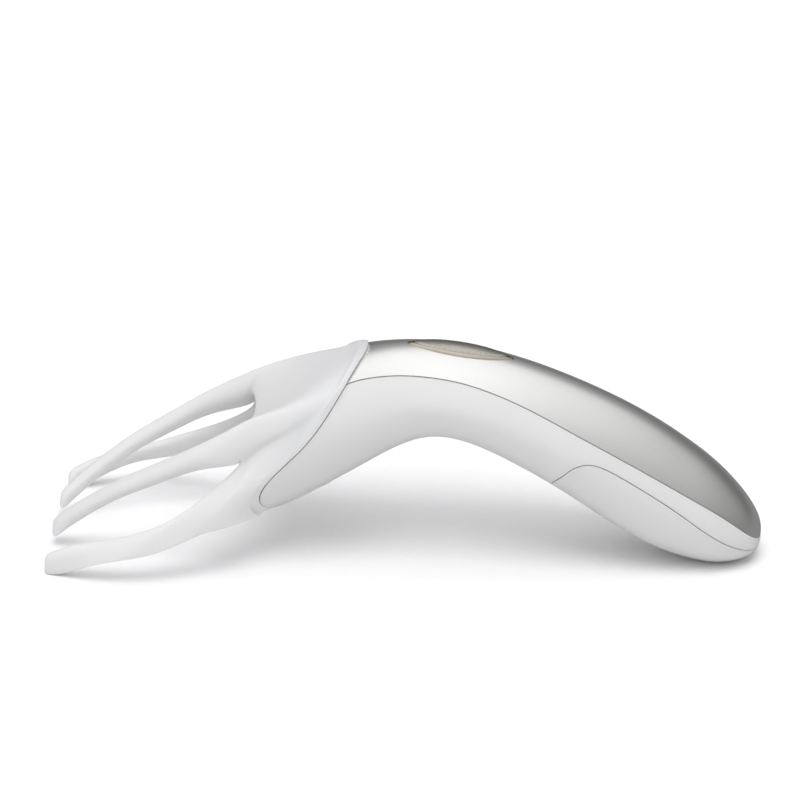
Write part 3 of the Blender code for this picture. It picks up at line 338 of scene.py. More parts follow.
def milkyElastomer():
    # Moulded thermoplastic elastomer without pigment: light goes a few millimetres in and comes out milky
    return grained("elastomer, moulded and milky", tones=("#dbdbdb", "#e0e0e0"), toneGrain=(18.0, 2.0),
                   roughness=(0.46, 0.56), glossGrain=(3.0, 2.0), bump=(0.05, 0.0001), bumpGrain=(0.7, 4.0),
                   IOR=1.46, Sheen_Weight=0.08, Sheen_Roughness=0.5, Subsurface_Weight=0.65,
                   Subsurface_Scale=0.0045, Subsurface_Radius=(1.0, 0.95, 0.9))


innerGrain = {"detail": 3.0, "roughnessSpread": 0.05, "metalRelief": 0.00005, "plasticRelief": 0.0001}


def insideFinish(name, dark, light, roughness, width, bump, relief, **values):
    # Inside the handle one grain shows in tone, gloss and bumps together
    grain, spread = (width, innerGrain["detail"]), innerGrain["roughnessSpread"]
    roughnesses = (roughness - spread, roughness + spread)
    return grained(name, (dark, light), grain, roughnesses, grain, (bump, relief), grain, **values)


def metal(name, dark, light, roughness, width, bump):
    return insideFinish(name, dark, light, roughness, width, bump, innerGrain["metalRelief"], Metallic=1.0)


def plastic(name, dark, light, roughness, width=2.0, bump=0.05):
    return insideFinish(name, dark, light, roughness, width, bump, innerGrain["plasticRelief"], IOR=1.5)


lacquer = {"flakeWidth": 0.35, "sprayWidth": 2.0, "sprayDetail": 2.0}  # real flakes are too fine to show


def flakedLacquer(name, tones, roughness, **values):
    made, tree, shader, place = newMaterial(name)
    flake = {"Vector": place, "Scale": millimetresPerMetre / lacquer["flakeWidth"]}
    spray = {"Vector": place, "Scale": millimetresPerMetre / lacquer["sprayWidth"],
             "Detail": lacquer["sprayDetail"]}
    flakes = addNode(tree, "ShaderNodeTexVoronoi", flake).outputs["Color"]
    clouds = addNode(tree, "ShaderNodeTexNoise", spray).outputs["Fac"]
    addTones(tree, shader, flakes, tones, clouds, roughness)
    setShader(shader, **values)
    return made


def silverPaint():
    # Sprayed metallic lacquer on ABS: fine aluminium flake under a clear coat
    return flakedLacquer("silver lacquer, sprayed", ("#e4e4e1", "#e7e7e4"), (0.27, 0.29),
                         Metallic=0.92, Coat_Weight=0.35, Coat_Roughness=0.08)


def buttonLacquer():
    # The same metallic lacquer as the shell in a darker grey, under a thicker clear coat
    return flakedLacquer("grey lacquer, sprayed", ("#a3a196", "#b0aea3"), (0.22, 0.28),
                         Metallic=0.9, Coat_Weight=0.4, Coat_Roughness=0.06)


finishes = {
    "white_abs": whiteAbs(),
    "silver_paint": silverPaint(),
    "milky_elastomer": milkyElastomer(),
    "button_paint": buttonLacquer(),
    # Plated over a blasted surface: a soft, slightly warm glint
    "bezel_chrome": metal("chrome, satin plated", "#b3a99c", "#c0b6a8", 0.20, 1.5, 0.01),
    # Plated sheet and wire: a dull grey sheen
    "plated_steel": metal("steel, nickel plated", "#a9a9a8", "#bcbbb8", 0.28, 0.8, 0.05),
    # Cut on a lathe: yellow, with a fine grain
    "brass": metal("brass, turned", "#b08a3e", "#c7a257", 0.30, 0.6, 0.08),
    # Mask printed over the board: a half-gloss green
    "circuit_board": plastic("solder mask over glass laminate", "#1d4a2c", "#27583a", 0.45, 0.8, 0.10),
    # Moulded black: plain and half matt
    "black_plastic": plastic("black ABS, moulded", "#1c1c1c", "#262626", 0.42),
    # Shrunk film: smooth and glossy
    "cell_jacket": plastic("printed film without print", "#2c323a", "#39414a", 0.30, 6.0, 0.02),
    # Extruded round a wire: an even half-gloss red
    "red_insulation": plastic("red PVC, extruded", "#9c2019", "#b52a20", 0.45, 1.5, 0.03),
}
print("stage: materials made")

slotOf = {row["node"]: row["material_slot"] for row in frame["record"]["subparts"]}
for nodeName, node in frame["nodes"].items():
    node.data.materials.clear()
    node.data.materials.append(finishes[slotOf[nodeName]])


def finishPiece(piece, body, *nodes):
    piece.data.materials.clear()
    piece.data.materials.append(finishes[slotOf[nodes[0]]])
    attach(piece, body)
    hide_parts(*nodes)


# Side-view regions that part the shells
def sideRegions():
    height, gap, over = form["crestHeight"], form["gap"], form["overrun"]
    partingCurve = naturalCubic(lines["parting"])
    shares = np.linspace(lines["parting"][0][0], lines["parting"][-1][0], lines["points"])
    parting = [(lengthAt(s), height * float(partingCurve(s))) for s in shares]
    high, low = height + over, -over
    left, right = parting[0][0] - over, form["length"] / 2 + over
    runOut, runIn = (right, parting[-1][1]), (left, parting[0][1])
    above = [runIn, *parting, runOut, (right, high), (left, high)]
    under = [(x, z - gap) for x, z in (runIn, *parting, runOut)] + [(right, low), (left, low)]

    def sideLine(name):
        return smoothPath([(lengthAt(s), height * z) for s, z in lines[name]], lines["points"])

    seam, door = sideLine("seam"), sideLine("door")
    wide, room = offsetLine(seam, -gap), offsetLine(door, gap)

    def behind(line):
        points = [tuple(p) for p in line]
        return [*points, (points[-1][0], low), (right, low), (right, high), (points[0][0], high)]

    def inside(line):
        points = [tuple(p) for p in line]
        return [*points, (points[-1][0], low), (points[0][0], low)]

    width = form["headSpread"]
    return {
        "above": prism("aboveParting", above, width),
        "under": prism("underParting", under, width),
        "behind": prism("behindSeam", behind(seam), width),
        "around": prism("aroundSeam", behind(wide), width),
        "door": prism("doorArea", inside(door), width),
        "doorRoom": prism("doorRoom", inside(room), width),
    }


def wallBand(name, inset, region, cutters):
    front = lengthAt(form["front"])
    band = formLoft(name, -form["bandOverrun"], front)
    core = formLoft(name + "Core", inset, front - form["bandOverrun"])
    combine(band, core)
    combine(band, region, "INTERSECT")
    bake(band)
    cutters += [band, core]
    return band


def buildShells():
    front, gap, over = lengthAt(form["front"]), form["gap"], form["overrun"]
    regions = sideRegions()
    cutters = list(regions.values())
    opening = front - form["frontOverrun"]
    cavity = formLoft("shellCavity", form["wall"], opening)
    doorCavity = formLoft("doorCavity", form["doorWall"], opening)
    reach = form["length"]
    ground = block("ground", (-reach, -reach, -over), (reach, reach, 0.0))
    cutters += [cavity, doorCavity, ground]
    top, lower = formLoft("silverTopShell", 0.0, front), formLoft("whiteLowerHousing", 0.0, front)
    for shell, side in ((top, "above"), (lower, "under")):
        combine(shell, cavity)
        combine(shell, regions[side], "INTERSECT")
        combine(shell, regions["behind"], "INTERSECT")
    combine(lower, wallBand("doorBand", form["doorWall"] + gap, regions["doorRoom"], cutters))
    combine(lower, ground)
    door = formLoft("slidingBatteryDoor", 0.0, front)
    combine(door, doorCavity)
    combine(door, regions["door"], "INTERSECT")
    combine(door, ground)
    return top, lower, door, regions, ground, cutters


# The push button: a pointed oval cap in a thin bright ring
button = {
    "length": 0.0284, "width": 0.0077, "share": 0.576, "rise": 0.0010, "edgeRise": 0.0006, "depth": 0.0044,
    "chamfer": 0.90, "chamferFoot": 0.0003, "ringGap": 0.00012, "capGap": 0.00016, "ringWidth": 0.0009,
    "ringRises": [(1.0, -0.0001), (0.95, 0.0002), (0.84, 0.00045), (0.6, 0.00045)], "ringDepth": 0.0026,
    "pointWidths": 1.6, "pointGaps": 2.0,  # the ring and its gaps at the two points, to those at the sides
    "pointPower": 1.35, "points": 96,
    "domeRings": [1.0, 0.97, 0.9, 0.8, 0.68, 0.54, 0.38, 0.24, 0.1],
}


def buttonAxis():
    x, step = lengthAt(button["share"]), button["length"] / 2
    run = crestPoint(x + step, 0.0) - crestPoint(x - step, 0.0)
    return Vector((-run.z, 0.0, run.x)).normalized()


def buttonLoops(width, length, rises, depth):
    half, count = [], button["points"] // 2
    for i in range(count + 1):
        turn = math.pi * i / count
        half.append((-length / 2 * math.cos(turn), width / 2 * math.sin(turn) ** button["pointPower"]))
    outline = half + [(x, -y) for x, y in reversed(half[1:-1])]
    centre, axis = lengthAt(button["share"]), buttonAxis()
    top = [[crestPoint(centre + x * s, y * s) + axis * rise for x, y in outline] for s, rise in rises]
    footLevel = (crestPoint(centre, 0.0) - axis * depth).dot(axis)
    foot = [p - axis * (p.dot(axis) - footLevel) for p in top[0]]
    return [foot, *top]


def buttonCut(name, width, length, gap):
    over = form["overrun"]
    wider, longer = width + 2 * gap, length + 2 * button["pointGaps"] * gap
    return loft(name, buttonLoops(wider, longer, [(1.0, over)], over / 2))


def buildButton(top, cutters):
    dome = button["rise"] - button["edgeRise"]
    rises = [(1.0, button["chamferFoot"])]
    rises += [(s * button["chamfer"], button["edgeRise"] + dome * (1 - s ** 2)) for s in button["domeRings"]]
    cap = loft("pushButtonCap", buttonLoops(button["width"], button["length"], rises, button["depth"]))
    gap = button["capGap"]
    ringWidth = button["width"] + 2 * (gap + button["ringWidth"])
    ringLength = button["length"] + 2 * (gap + button["pointWidths"] * button["ringWidth"])
    ring = loft("buttonRing", buttonLoops(ringWidth, ringLength, button["ringRises"], button["ringDepth"]))
    hole = buttonCut("buttonHole", button["width"], button["length"], gap)
    slot = buttonCut("ringSlot", ringWidth, ringLength, button["ringGap"])
    combine(ring, hole)
    combine(top, slot, solver="MANIFOLD")
    cutters += [hole, slot]
    return cap, ring


top, lower, door, regions, ground, cutters = buildShells()
cap, ring = buildButton(top, cutters)
for piece in (top, lower, door, ring):
    bake(piece)
    tidyShell(piece)
tidyShell(cap)
print("stage: shells and button made")

# The soft head: a cage whose smoothed surface passes through these places. Its columns run from the
# crest round the near side to the keel, and its rows from the sleeve under the shells to the prong tips.
head = {
    "sleeve": 0.0040, "skin": 0.0028, "beadWidth": 0.0032, "beadFall": 0.0024, "beadRise": 0.0008,
    "sleeveRear": 0.453,
    "angles": (90, 74, 57, 38, 20, 2, -22, -55, -73, -90),
    "seams": (0.446, 0.442, 0.430, 0.413, 0.386, 0.355, 0.307, 0.315, 0.333, 0.341),
    "beads": (1.0, 1.0, 1.0, 0.9, 0.6, 0.2, 0.0, 0.0),
    "innerRoots": (0.292, 0.283, 0.298, 0.300, 0.291, 0.278, 0.257, 0.243),  # where the middle slot starts
    "outerRoots": (0.284, 0.262, 0.266, 0.271, 0.272, 0.262, 0.238, 0.224),  # where the side slots start
    "prongRows": (0.19, 0.40, 0.62, 0.83, 0.955, 0.988, 1.0),  # shares of the way from root to tip
    "tip": 0.0032,
    # Along, across and up, in shares, where each column's line runs over the palm and down its prong
    "guides": (
        [(0.416, 0.0, 0.948), (0.374, 0.0, 0.860), (0.327, 0.0, 0.756), (0.290, 0.0, 0.672)],
        [(0.414, 0.197, 0.938), (0.369, 0.282, 0.855), (0.320, 0.352, 0.758), (0.284, 0.400, 0.688),
         (0.262, 0.440, 0.645)],
        [(0.388, 0.468, 0.857), (0.322, 0.521, 0.783), (0.238, 0.556, 0.647), (0.146, 0.488, 0.472),
         (0.067, 0.381, 0.303), (0.004, 0.263, 0.128)],
        [(0.379, 0.548, 0.792), (0.341, 0.592, 0.723), (0.301, 0.608, 0.665), (0.271, 0.627, 0.612)],
        [(0.350, 0.592, 0.680), (0.315, 0.586, 0.631), (0.291, 0.597, 0.569), (0.272, 0.625, 0.506),
         (0.228, 0.762, 0.388), (0.173, 0.912, 0.283), (0.118, 0.932, 0.212), (0.061, 0.904, 0.163),
         (0.004, 0.838, 0.085)],
        [(0.320, 0.668, 0.548), (0.294, 0.696, 0.508), (0.262, 0.767, 0.425)],
        [(0.283, 0.740, 0.377), (0.257, 0.822, 0.346), (0.238, 0.858, 0.314)],
        [(0.299, 0.562, 0.262), (0.283, 0.685, 0.266), (0.262, 0.784, 0.260), (0.220, 0.877, 0.234),
         (0.175, 0.967, 0.177), (0.118, 0.997, 0.126), (0.062, 0.959, 0.070), (0.030, 0.892, 0.018),
         (0.004, 0.840, -0.014)],
    ),
    "prongHeight": 0.0052,
    "prongHeights": [(0.004, 1.28), (0.070, 1.15), (0.145, 1.25), (0.224, 1.63), (0.271, 2.15)],
    "prongWidth": 0.0060, "prongSide": 0.30, "prongFlank": 0.45, "prongKeel": 0.08,
    "outerThickness": 0.0040, "outerBulge": 0.0010, "outerEdge": 0.60,
    "tipRoundings": (0.88, 0.58),  # how far the last two rows keep their width
    "rootBlend": 0.5, "webThickness": 0.0040, "web": 0.351, "levels": 3, "fitRounds": 24, "sharp": 50.0,
}
seamRow, footRow, innerRootRow, outerRootRow = 2, 4, 6, 7
lastRow = outerRootRow + len(head["prongRows"])
innerProng, outerProng = (1, 2, 3), (4, 5, 6, 7)
ridgeColumn, upperColumn, rimColumn = innerProng[1], outerProng[0], outerProng[-1]
lastColumn = len(head["angles"]) - 1
prongHeightCurve = naturalCubic(head["prongHeights"])


def guideCurves(column):
    seam = head["seams"][column]
    start = formPoint(lengthAt(seam), head["angles"][column])
    knots = [(seam, -start.y, start.z)]
    knots += [(s, y * form["headSpread"] / 2, z * form["crestHeight"]) for s, y, z in head["guides"][column]]
    knots.sort()
    return naturalCubic([(s, y) for s, y, z in knots]), naturalCubic([(s, z) for s, y, z in knots])


guides = [guideCurves(column) for column in range(len(head["guides"]))]


def guidePoint(column, share):
    across, up = guides[column]
    return Vector((lengthAt(share), -float(across(share)), float(up(share))))


def rowShare(column, row):
    seam = head["seams"][column]
    if row <= seamRow:
        return head["sleeveRear"] + (seam - head["sleeveRear"]) * row / seamRow
    bead = head["beadWidth"] / form["length"]
    if row == seamRow + 1:
        return seam - bead
    foot = seam - bead - head["beadFall"] / form["length"]
    if row <= innerRootRow:
        return foot + (head["innerRoots"][column] - foot) * (row - footRow) / (innerRootRow - footRow)
    root = head["outerRoots"][column]
    if row == outerRootRow:
        return root
    return root + (head["tip"] - root) * head["prongRows"][row - outerRootRow - 1]


def outerPoint(column, row):
    share = rowShare(column, row)
    x, angle = lengthAt(share), head["angles"][column]
    if row <= seamRow + 1 or column > rimColumn:
        beaded = row >= seamRow and column <= rimColumn
        rise = head["beadRise"] * head["beads"][column] if beaded else 0.0
        onForm = formPoint(x, angle, -rise)
        return onForm if row <= seamRow else guidePoint(column, share) + (onForm - formPoint(x, angle))
    if row <= outerRootRow or column in (ridgeColumn, upperColumn, rimColumn):
        return guidePoint(column, share)
    if column in innerProng:
        side = 1 if column < ridgeColumn else -1
        drop = -head["prongSide"] * float(prongHeightCurve(share)) * head["prongHeight"]
        return guidePoint(ridgeColumn, share) + Vector((0.0, side * head["prongWidth"] / 2, drop))
    upper, rim = (guidePoint(edge, rowShare(edge, row)) for edge in (upperColumn, rimColumn))
    across = (column - upperColumn) / (rimColumn - upperColumn)
    return upper.lerp(rim, across) + Vector((0.0, -head["outerBulge"], 0.0))


def innerPoint(column, row, outer):
    point = outer[column, row]
    if row <= seamRow or column > rimColumn:
        return formPoint(point.x, head["angles"][column], head["sleeve"])
    height = float(prongHeightCurve(shareAt(point.x))) * head["prongHeight"]
    if column == ridgeColumn:
        prong = Vector((0.0, 0.0, -height))
    elif column in innerProng:
        side = -1 if column < ridgeColumn else 1
        prong = Vector((0.0, side * head["prongKeel"] * head["prongWidth"], -head["prongFlank"] * height))
    elif column in (upperColumn, rimColumn):
        prong = Vector((0.0, head["outerThickness"] * head["outerEdge"], 0.0))
    else:
        prong = Vector((0.0, head["outerThickness"] + head["outerBulge"] / 2, 0.0))
    if row > innerRootRow:
        return point + prong
    ahead, behind = outer.get((column, row + 1), point), outer[column, row - 1]
    left, right = outer.get((column - 1, row), point), outer.get((column + 1, row), point)
    if column == 0:
        left = Vector((right.x, -right.y, right.z))
    skin = point + (right - left).cross(ahead - behind).normalized() * head["skin"]
    blend = head["rootBlend"] if row == innerRootRow and column in innerProng else 0.0
    return skin.lerp(point + prong, blend)


def headCage():
    cells = {}
    for column in range(lastColumn + 1):
        last = innerRootRow if column == 0 else seamRow if column > rimColumn else lastRow
        for row in range(last + 1):
            cells[column, row] = outerPoint(column, row)
    inner = {key: innerPoint(*key, cells) for key in cells}
    for prong in (innerProng, outerProng):
        for row, rounding in zip((lastRow - 1, lastRow), head["tipRoundings"]):
            ends = [layer[column, row] for layer in (cells, inner) for column in prong]
            middle = sum(ends, Vector()) / len(ends)
            for column in prong:
                cells[column, row] = middle.lerp(cells[column, row], rounding)
                inner[column, row] = middle.lerp(inner[column, row], rounding)
    points, index = [], {}
    for layer, source in (("out", cells), ("in", inner)):
        for (column, row), p in source.items():
            for side in (1, -1):
                if side < 0 and column in (0, lastColumn):
                    index[layer, side, column, row] = index[layer, 1, column, row]
                    continue
                index[layer, side, column, row] = len(points)
                points.append(Vector((p.x, 0.0 if column in (0, lastColumn) else p.y * side, p.z)))
    faces, edges = [], {}
    for side in (1, -1):
        for column in range(lastColumn):
            for row in range(lastRow):
                corners = [(column, row), (column + 1, row), (column + 1, row + 1), (column, row + 1)]
                inSlot = column == innerProng[-1] and row >= outerRootRow
                if inSlot or not all(c in cells for c in corners):
                    continue
                for layer in ("out", "in"):
                    quad = [index[layer, side, c, r] for c, r in corners]
                    faces.append(quad[::side] if layer == "out" else quad[:: -side])
                for a, b in zip(corners, corners[1:] + corners[:1]):
                    key = frozenset((index["out", side, *a], index["out", side, *b]))
                    edges.setdefault(key, []).append((side, a, b))
    for found in edges.values():
        if len(found) == 1:
            side, a, b = found[0]
            quad = [index[layer, side, *c] for layer, c in (("out", b), ("out", a), ("in", a), ("in", b))]
            faces.append(quad[::side])
    return np.array([tuple(p) for p in points]), faces


def throughPoints(targets, faces):
    # Moves the cage until its smoothed surface passes through the wanted points. A smoothed point is a
    # weighted mean of the cage's point, its neighbours and the points across its faces.
    count = len(targets)
    near, across = np.zeros((count, count)), np.zeros((count, count))
    for a, b, c, d in faces:
        for p, q, r in ((a, b, c), (b, c, d), (c, d, a), (d, a, b)):
            near[p, q] = near[q, p] = 1.0
            across[p, r] += 1.0
    valence = near.sum(axis=1)
    weights = np.diag(valence ** 2) + 4 * near + across
    weights /= (valence * (valence + 5))[:, None]
    cage = targets.copy()
    for _ in range(head["fitRounds"]):
        cage += targets - weights @ cage
    return cage


def webPlug():
    loops = []
    shellRoom = form["wall"] + form["gap"]
    for ahead in (0.0, head["webThickness"]):
        share = head["web"] - ahead / form["length"]
        x = lengthAt(share)
        middle = Vector((x, 0.0, float(sectionAt(x)[0])))
        half = []
        for column, angle in enumerate(head["angles"]):
            inPalm = column <= upperColumn
            p = guidePoint(column, share) if inPalm else formPoint(x, angle)
            depth = head["skin"] / 2 if inPalm else shellRoom + (head["sleeve"] - shellRoom) / 2
            half.append(p + (middle - p).normalized() * depth)
        half[0].y = half[-1].y = 0.0
        loops.append(half + [Vector((p.x, -p.y, p.z)) for p in reversed(half[1:-1])])
    return loft("rootWeb", loops)


def buildHead(regions, ground, cutters):
    targets, faces = headCage()
    soft = meshObject("softForkedHead", throughPoints(targets, faces), faces)
    smoothing = soft.modifiers.new("Smooth form", "SUBSURF")
    smoothing.levels = smoothing.render_levels = head["levels"]
    web = webPlug()
    rebate = wallBand("headRebate", form["wall"] + form["gap"], regions["around"], cutters)
    combine(soft, web, "UNION")
    combine(soft, rebate, solver="MANIFOLD")
    combine(soft, ground, solver="MANIFOLD")
    bake(soft)
    cutters.append(web)
    return soft


# Small parts inside: slotted screws, coil springs and leads, each kind made by one node tree
bay = {"place": (0.062702, 0.0, 0.0299), "tilt": 28.3}
board = {"place": (0.014865, 0.0, 0.054883), "tilt": 7.305}
motor = {"place": (-0.009844, 0.0, 0.045053), "tilt": -21.0}
screws = {
    "places": ((0.000752, -0.006, 0.054777, 7.305), (0.028525, 0.006, 0.051217, 7.305),
               (0.046481, 0.0, 0.044644, 28.3), (0.083901, 0.0, 0.024495, 28.3),
               (0.098868, 0.0, 0.0092, 0.0)),
    "shankRadius": 0.0009, "shankLength": 0.0056, "headRadius": 0.0021, "crownRadius": 0.0015,
    "headHeight": 0.0012, "slotWidth": 0.0007, "slotDepth": 0.0007, "threadPitch": 0.0008,
    "threadDepth": 0.00018, "threadReach": 0.9, "threadPoints": 16, "threadSides": 5, "sides": 32,
}
springs = {
    "wire": 0.0006, "footDiameter": 0.0072, "topDiameter": 0.0036, "turns": 3.0, "turnPoints": 24,
    "from": 0.02485, "to": 0.02285, "side": 0.00575, "sides": 12,
}
leads = {
    "wire": 0.0012, "motorEnd": 0.0124, "bend": 0.0025, "motorSide": 0.003, "motorSpot": -0.005,
    "boardUnder": -0.0019, "bayEnd": -0.02775, "baySide": 0.00575, "rearSide": 0.0022,
    "rearSpot": 0.015516, "points": 28, "sides": 16,
}
smallParts = {"merge": 0.000001, "sharp": 40.0}


def localPoint(spot, along, across, height):
    turn = Matrix.Rotation(math.radians(spot["tilt"]), 3, "Y")
    return Vector(spot["place"]) + turn @ Vector((along, across, height))


def newTree(name, sizes):
    tree = bpy.data.node_groups.new(name, "GeometryNodeTree")
    tree.interface.new_socket("Geometry", in_out="INPUT", socket_type="NodeSocketGeometry")
    for size, value in sizes.items():
        kind = "NodeSocketInt" if isinstance(value, int) else "NodeSocketFloat"
        tree.interface.new_socket(size, in_out="INPUT", socket_type=kind).default_value = value
    tree.interface.new_socket("Finish", in_out="INPUT", socket_type="NodeSocketMaterial")
    tree.interface.new_socket("Geometry", in_out="OUTPUT", socket_type="NodeSocketGeometry")
    return tree, addNode(tree, "NodeGroupInput").outputs


def endTree(tree, geometry, finish):
    smooth = addNode(tree, "GeometryNodeSetShadeSmooth", {"Geometry": geometry})
    real = addNode(tree, "GeometryNodeRealizeInstances", {"Geometry": smooth.outputs["Geometry"]})
    coat = {"Geometry": real.outputs["Geometry"], "Material": finish}
    painted = addNode(tree, "GeometryNodeSetMaterial", coat)
    addNode(tree, "NodeGroupOutput", {"Geometry": painted.outputs["Geometry"]})


def onSpots(tree, spots, shape):
    # Sets the shape on each vertex, turned about Y by the vertex's own tilt
    tilt = addNode(tree, "GeometryNodeInputNamedAttribute", {"Name": "tilt"}, data_type="FLOAT")
    euler = addNode(tree, "ShaderNodeCombineXYZ", {"Y": tilt.outputs["Attribute"]}).outputs["Vector"]
    turn = addNode(tree, "FunctionNodeEulerToRotation", {"Euler": euler}).outputs["Rotation"]
    copies = {"Points": spots, "Instance": shape, "Rotation": turn}
    placed = addNode(tree, "GeometryNodeInstanceOnPoints", copies)
    return placed.outputs["Instances"]


def moveShape(tree, shape, height, turn=0.0):
    lift = addNode(tree, "ShaderNodeCombineXYZ", {"Z": height}).outputs["Vector"]
    moved = {"Geometry": shape, "Translation": lift, "Rotation": (turn, 0.0, 0.0)}
    return addNode(tree, "GeometryNodeTransform", moved).outputs["Geometry"]


def roundWire(tree, path, radius, sides):
    rim = addNode(tree, "GeometryNodeCurvePrimitiveCircle", {"Radius": radius, "Resolution": sides})
    wire = {"Curve": path, "Profile Curve": rim.outputs["Curve"], "Fill Caps": True}
    return addNode(tree, "GeometryNodeCurveToMesh", wire).outputs["Mesh"]


def screwTree():
    sizes = {"Shank radius": screws["shankRadius"], "Shank length": screws["shankLength"],
             "Thread pitch": screws["threadPitch"], "Thread depth": screws["threadDepth"],
             "Thread reach": screws["threadReach"], "Head radius": screws["headRadius"],
             "Crown radius": screws["crownRadius"], "Head height": screws["headHeight"],
             "Slot width": screws["slotWidth"], "Slot depth": screws["slotDepth"],
             "Sides": screws["sides"]}
    tree, given = newTree("slotted screws", sizes)
    worked = {}
    for name, first, second in (
            ("Slot reach", given["Head radius"], 3.0),  # the cutter overruns the head
            ("Slot height", given["Slot depth"], 2.0),  # half of it stands above the crown
            ("Slot level", given["Head height"], -1.0),
            ("Shank middle", given["Shank length"], 0.5),
            ("Thread length", given["Shank length"], given["Thread reach"])):
        product = addNode(tree, "ShaderNodeMath", {0: first, 1: second}, operation="MULTIPLY")
        worked[name] = product.outputs["Value"]
    cone = {"Vertices": given["Sides"], "Radius Top": given["Crown radius"],
            "Radius Bottom": given["Head radius"], "Depth": given["Head height"]}
    blank = moveShape(tree, addNode(tree, "GeometryNodeMeshCone", cone).outputs["Mesh"], 0.0, math.pi)
    cutter = {"X": worked["Slot reach"], "Y": given["Slot width"], "Z": worked["Slot height"]}
    cutter = addNode(tree, "ShaderNodeCombineXYZ", cutter).outputs["Vector"]
    slot = addNode(tree, "GeometryNodeMeshCube", {"Size": cutter}).outputs["Mesh"]
    slot = moveShape(tree, slot, worked["Slot level"])
    cut = addNode(tree, "GeometryNodeMeshBoolean", {"Mesh 1": blank, "Mesh 2": slot}, operation="DIFFERENCE")
    shank = {"Vertices": given["Sides"], "Radius": given["Shank radius"], "Depth": given["Shank length"]}
    shank = addNode(tree, "GeometryNodeMeshCylinder", shank).outputs["Mesh"]
    shank = moveShape(tree, shank, worked["Shank middle"])
    turns = {0: worked["Thread length"], 1: given["Thread pitch"]}
    helix = {"Resolution": screws["threadPoints"], "Start Radius": given["Shank radius"],
             "End Radius": given["Shank radius"], "Height": worked["Thread length"],
             "Rotations": addNode(tree, "ShaderNodeMath", turns, operation="DIVIDE").outputs["Value"]}
    helix = addNode(tree, "GeometryNodeCurveSpiral", helix).outputs["Curve"]
    thread = roundWire(tree, helix, given["Thread depth"], screws["threadSides"])
    whole = addNode(tree, "GeometryNodeJoinGeometry")
    for shape in (cut.outputs["Mesh"], shank, thread):
        tree.links.new(shape, whole.inputs["Geometry"])
    endTree(tree, onSpots(tree, given["Geometry"], whole.outputs["Geometry"]), given["Finish"])
    return tree


def springTree():
    wire, foot, end = springs["wire"], springs["footDiameter"], springs["topDiameter"]
    sizes = {"Wire radius": wire / 2, "Foot radius": (foot - wire) / 2, "Top radius": (end - wire) / 2,
             "Turns": springs["turns"], "Height": springs["from"] - springs["to"],
             "Points a turn": springs["turnPoints"], "Sides": springs["sides"]}
    tree, given = newTree("coil springs", sizes)
    coil = {"Resolution": given["Points a turn"], "Rotations": given["Turns"], "Height": given["Height"],
            "Start Radius": given["Foot radius"], "End Radius": given["Top radius"]}
    coil = addNode(tree, "GeometryNodeCurveSpiral", coil).outputs["Curve"]
    turned = roundWire(tree, coil, given["Wire radius"], given["Sides"])
    endTree(tree, onSpots(tree, given["Geometry"], turned), given["Finish"])
    return tree


def leadTree():
    tree, given = newTree("insulated leads", {"Wire radius": leads["wire"] / 2, "Sides": leads["sides"]})
    path = addNode(tree, "GeometryNodeMeshToCurve", {"Mesh": given["Geometry"]}).outputs["Curve"]
    endTree(tree, roundWire(tree, path, given["Wire radius"], given["Sides"]), given["Finish"])
    return tree


def runTree(name, tree, points, finish, edges=(), tilts=None):
    mesh = bpy.data.meshes.new(name)
    mesh.from_pydata([tuple(p) for p in points], edges, [])
    if tilts:
        mesh.attributes.new("tilt", "FLOAT", "POINT").data.foreach_set("value", tilts)
    made = bpy.data.objects.new(name, mesh)
    bpy.context.scene.collection.objects.link(made)
    step = made.modifiers.new(tree.name, "NODES")
    step.node_group = tree
    for item in tree.interface.items_tree:
        if item.in_out == "INPUT" and item.name == "Finish":
            step[item.identifier] = finish
    bake(made)
    shape = bmesh.new()
    shape.from_mesh(made.data)
    bmesh.ops.remove_doubles(shape, verts=shape.verts, dist=smallParts["merge"])
    bmesh.ops.recalc_face_normals(shape, faces=shape.faces)
    shape.to_mesh(made.data)
    shape.free()
    made.data.set_sharp_from_angle(angle=math.radians(smallParts["sharp"]))
    return made


def buildSmallParts():
    steel = finishes["plated_steel"]
    tilts = [math.radians(place[3]) for place in screws["places"]]
    spots = [place[:3] for place in screws["places"]]
    made = runTree("slottedScrews", screwTree(), spots, steel, tilts=tilts)
    nodes = ["board_screw_front", "board_screw_rear", "tray_screw_front", "tray_screw_rear", "housing_screw"]
    finishPiece(made, "handle", *nodes)
    spots = [localPoint(bay, end * springs["from"], end * springs["side"], 0.0) for end in (-1, 1)]
    tilts = [math.radians(bay["tilt"] - end * 90.0) for end in (-1, 1)]
    made = runTree("contactSprings", springTree(), spots, steel, tilts=tilts)
    finishPiece(made, "handle", "negative_spring", "bridge_spring")
    tree = leadTree()
    for colour, side in (("Red", 1), ("Black", -1)):
        aside, rear, bayed = (side * leads[key] for key in ("motorSide", "rearSide", "baySide"))
        low, high = leads["boardUnder"] - leads["bend"], leads["boardUnder"]
        runs = (
            ((motor, leads["motorEnd"], aside, 0.0), (motor, leads["motorEnd"] + leads["bend"], aside, 0.0),
             (board, leads["motorSpot"], aside, low), (board, leads["motorSpot"], aside, high)),
            ((bay, leads["bayEnd"], bayed, 0.0), (bay, leads["bayEnd"] - leads["bend"], bayed, 0.0),
             (board, leads["rearSpot"], rear, low), (board, leads["rearSpot"], rear, high)),
        )
        points, edges = [], []
        for run in runs:
            path = smoothPath([tuple(localPoint(*spot)) for spot in run], leads["points"])
            edges += [(len(points) + i, len(points) + i + 1) for i in range(leads["points"] - 1)]
            points += list(path)
        nodes = ["motor_lead_" + colour.lower(), "battery_lead_" + colour.lower()]
        made = runTree("leads" + colour, tree, points, finishes[slotOf[nodes[0]]], edges=edges)
        finishPiece(made, "handle", *nodes)


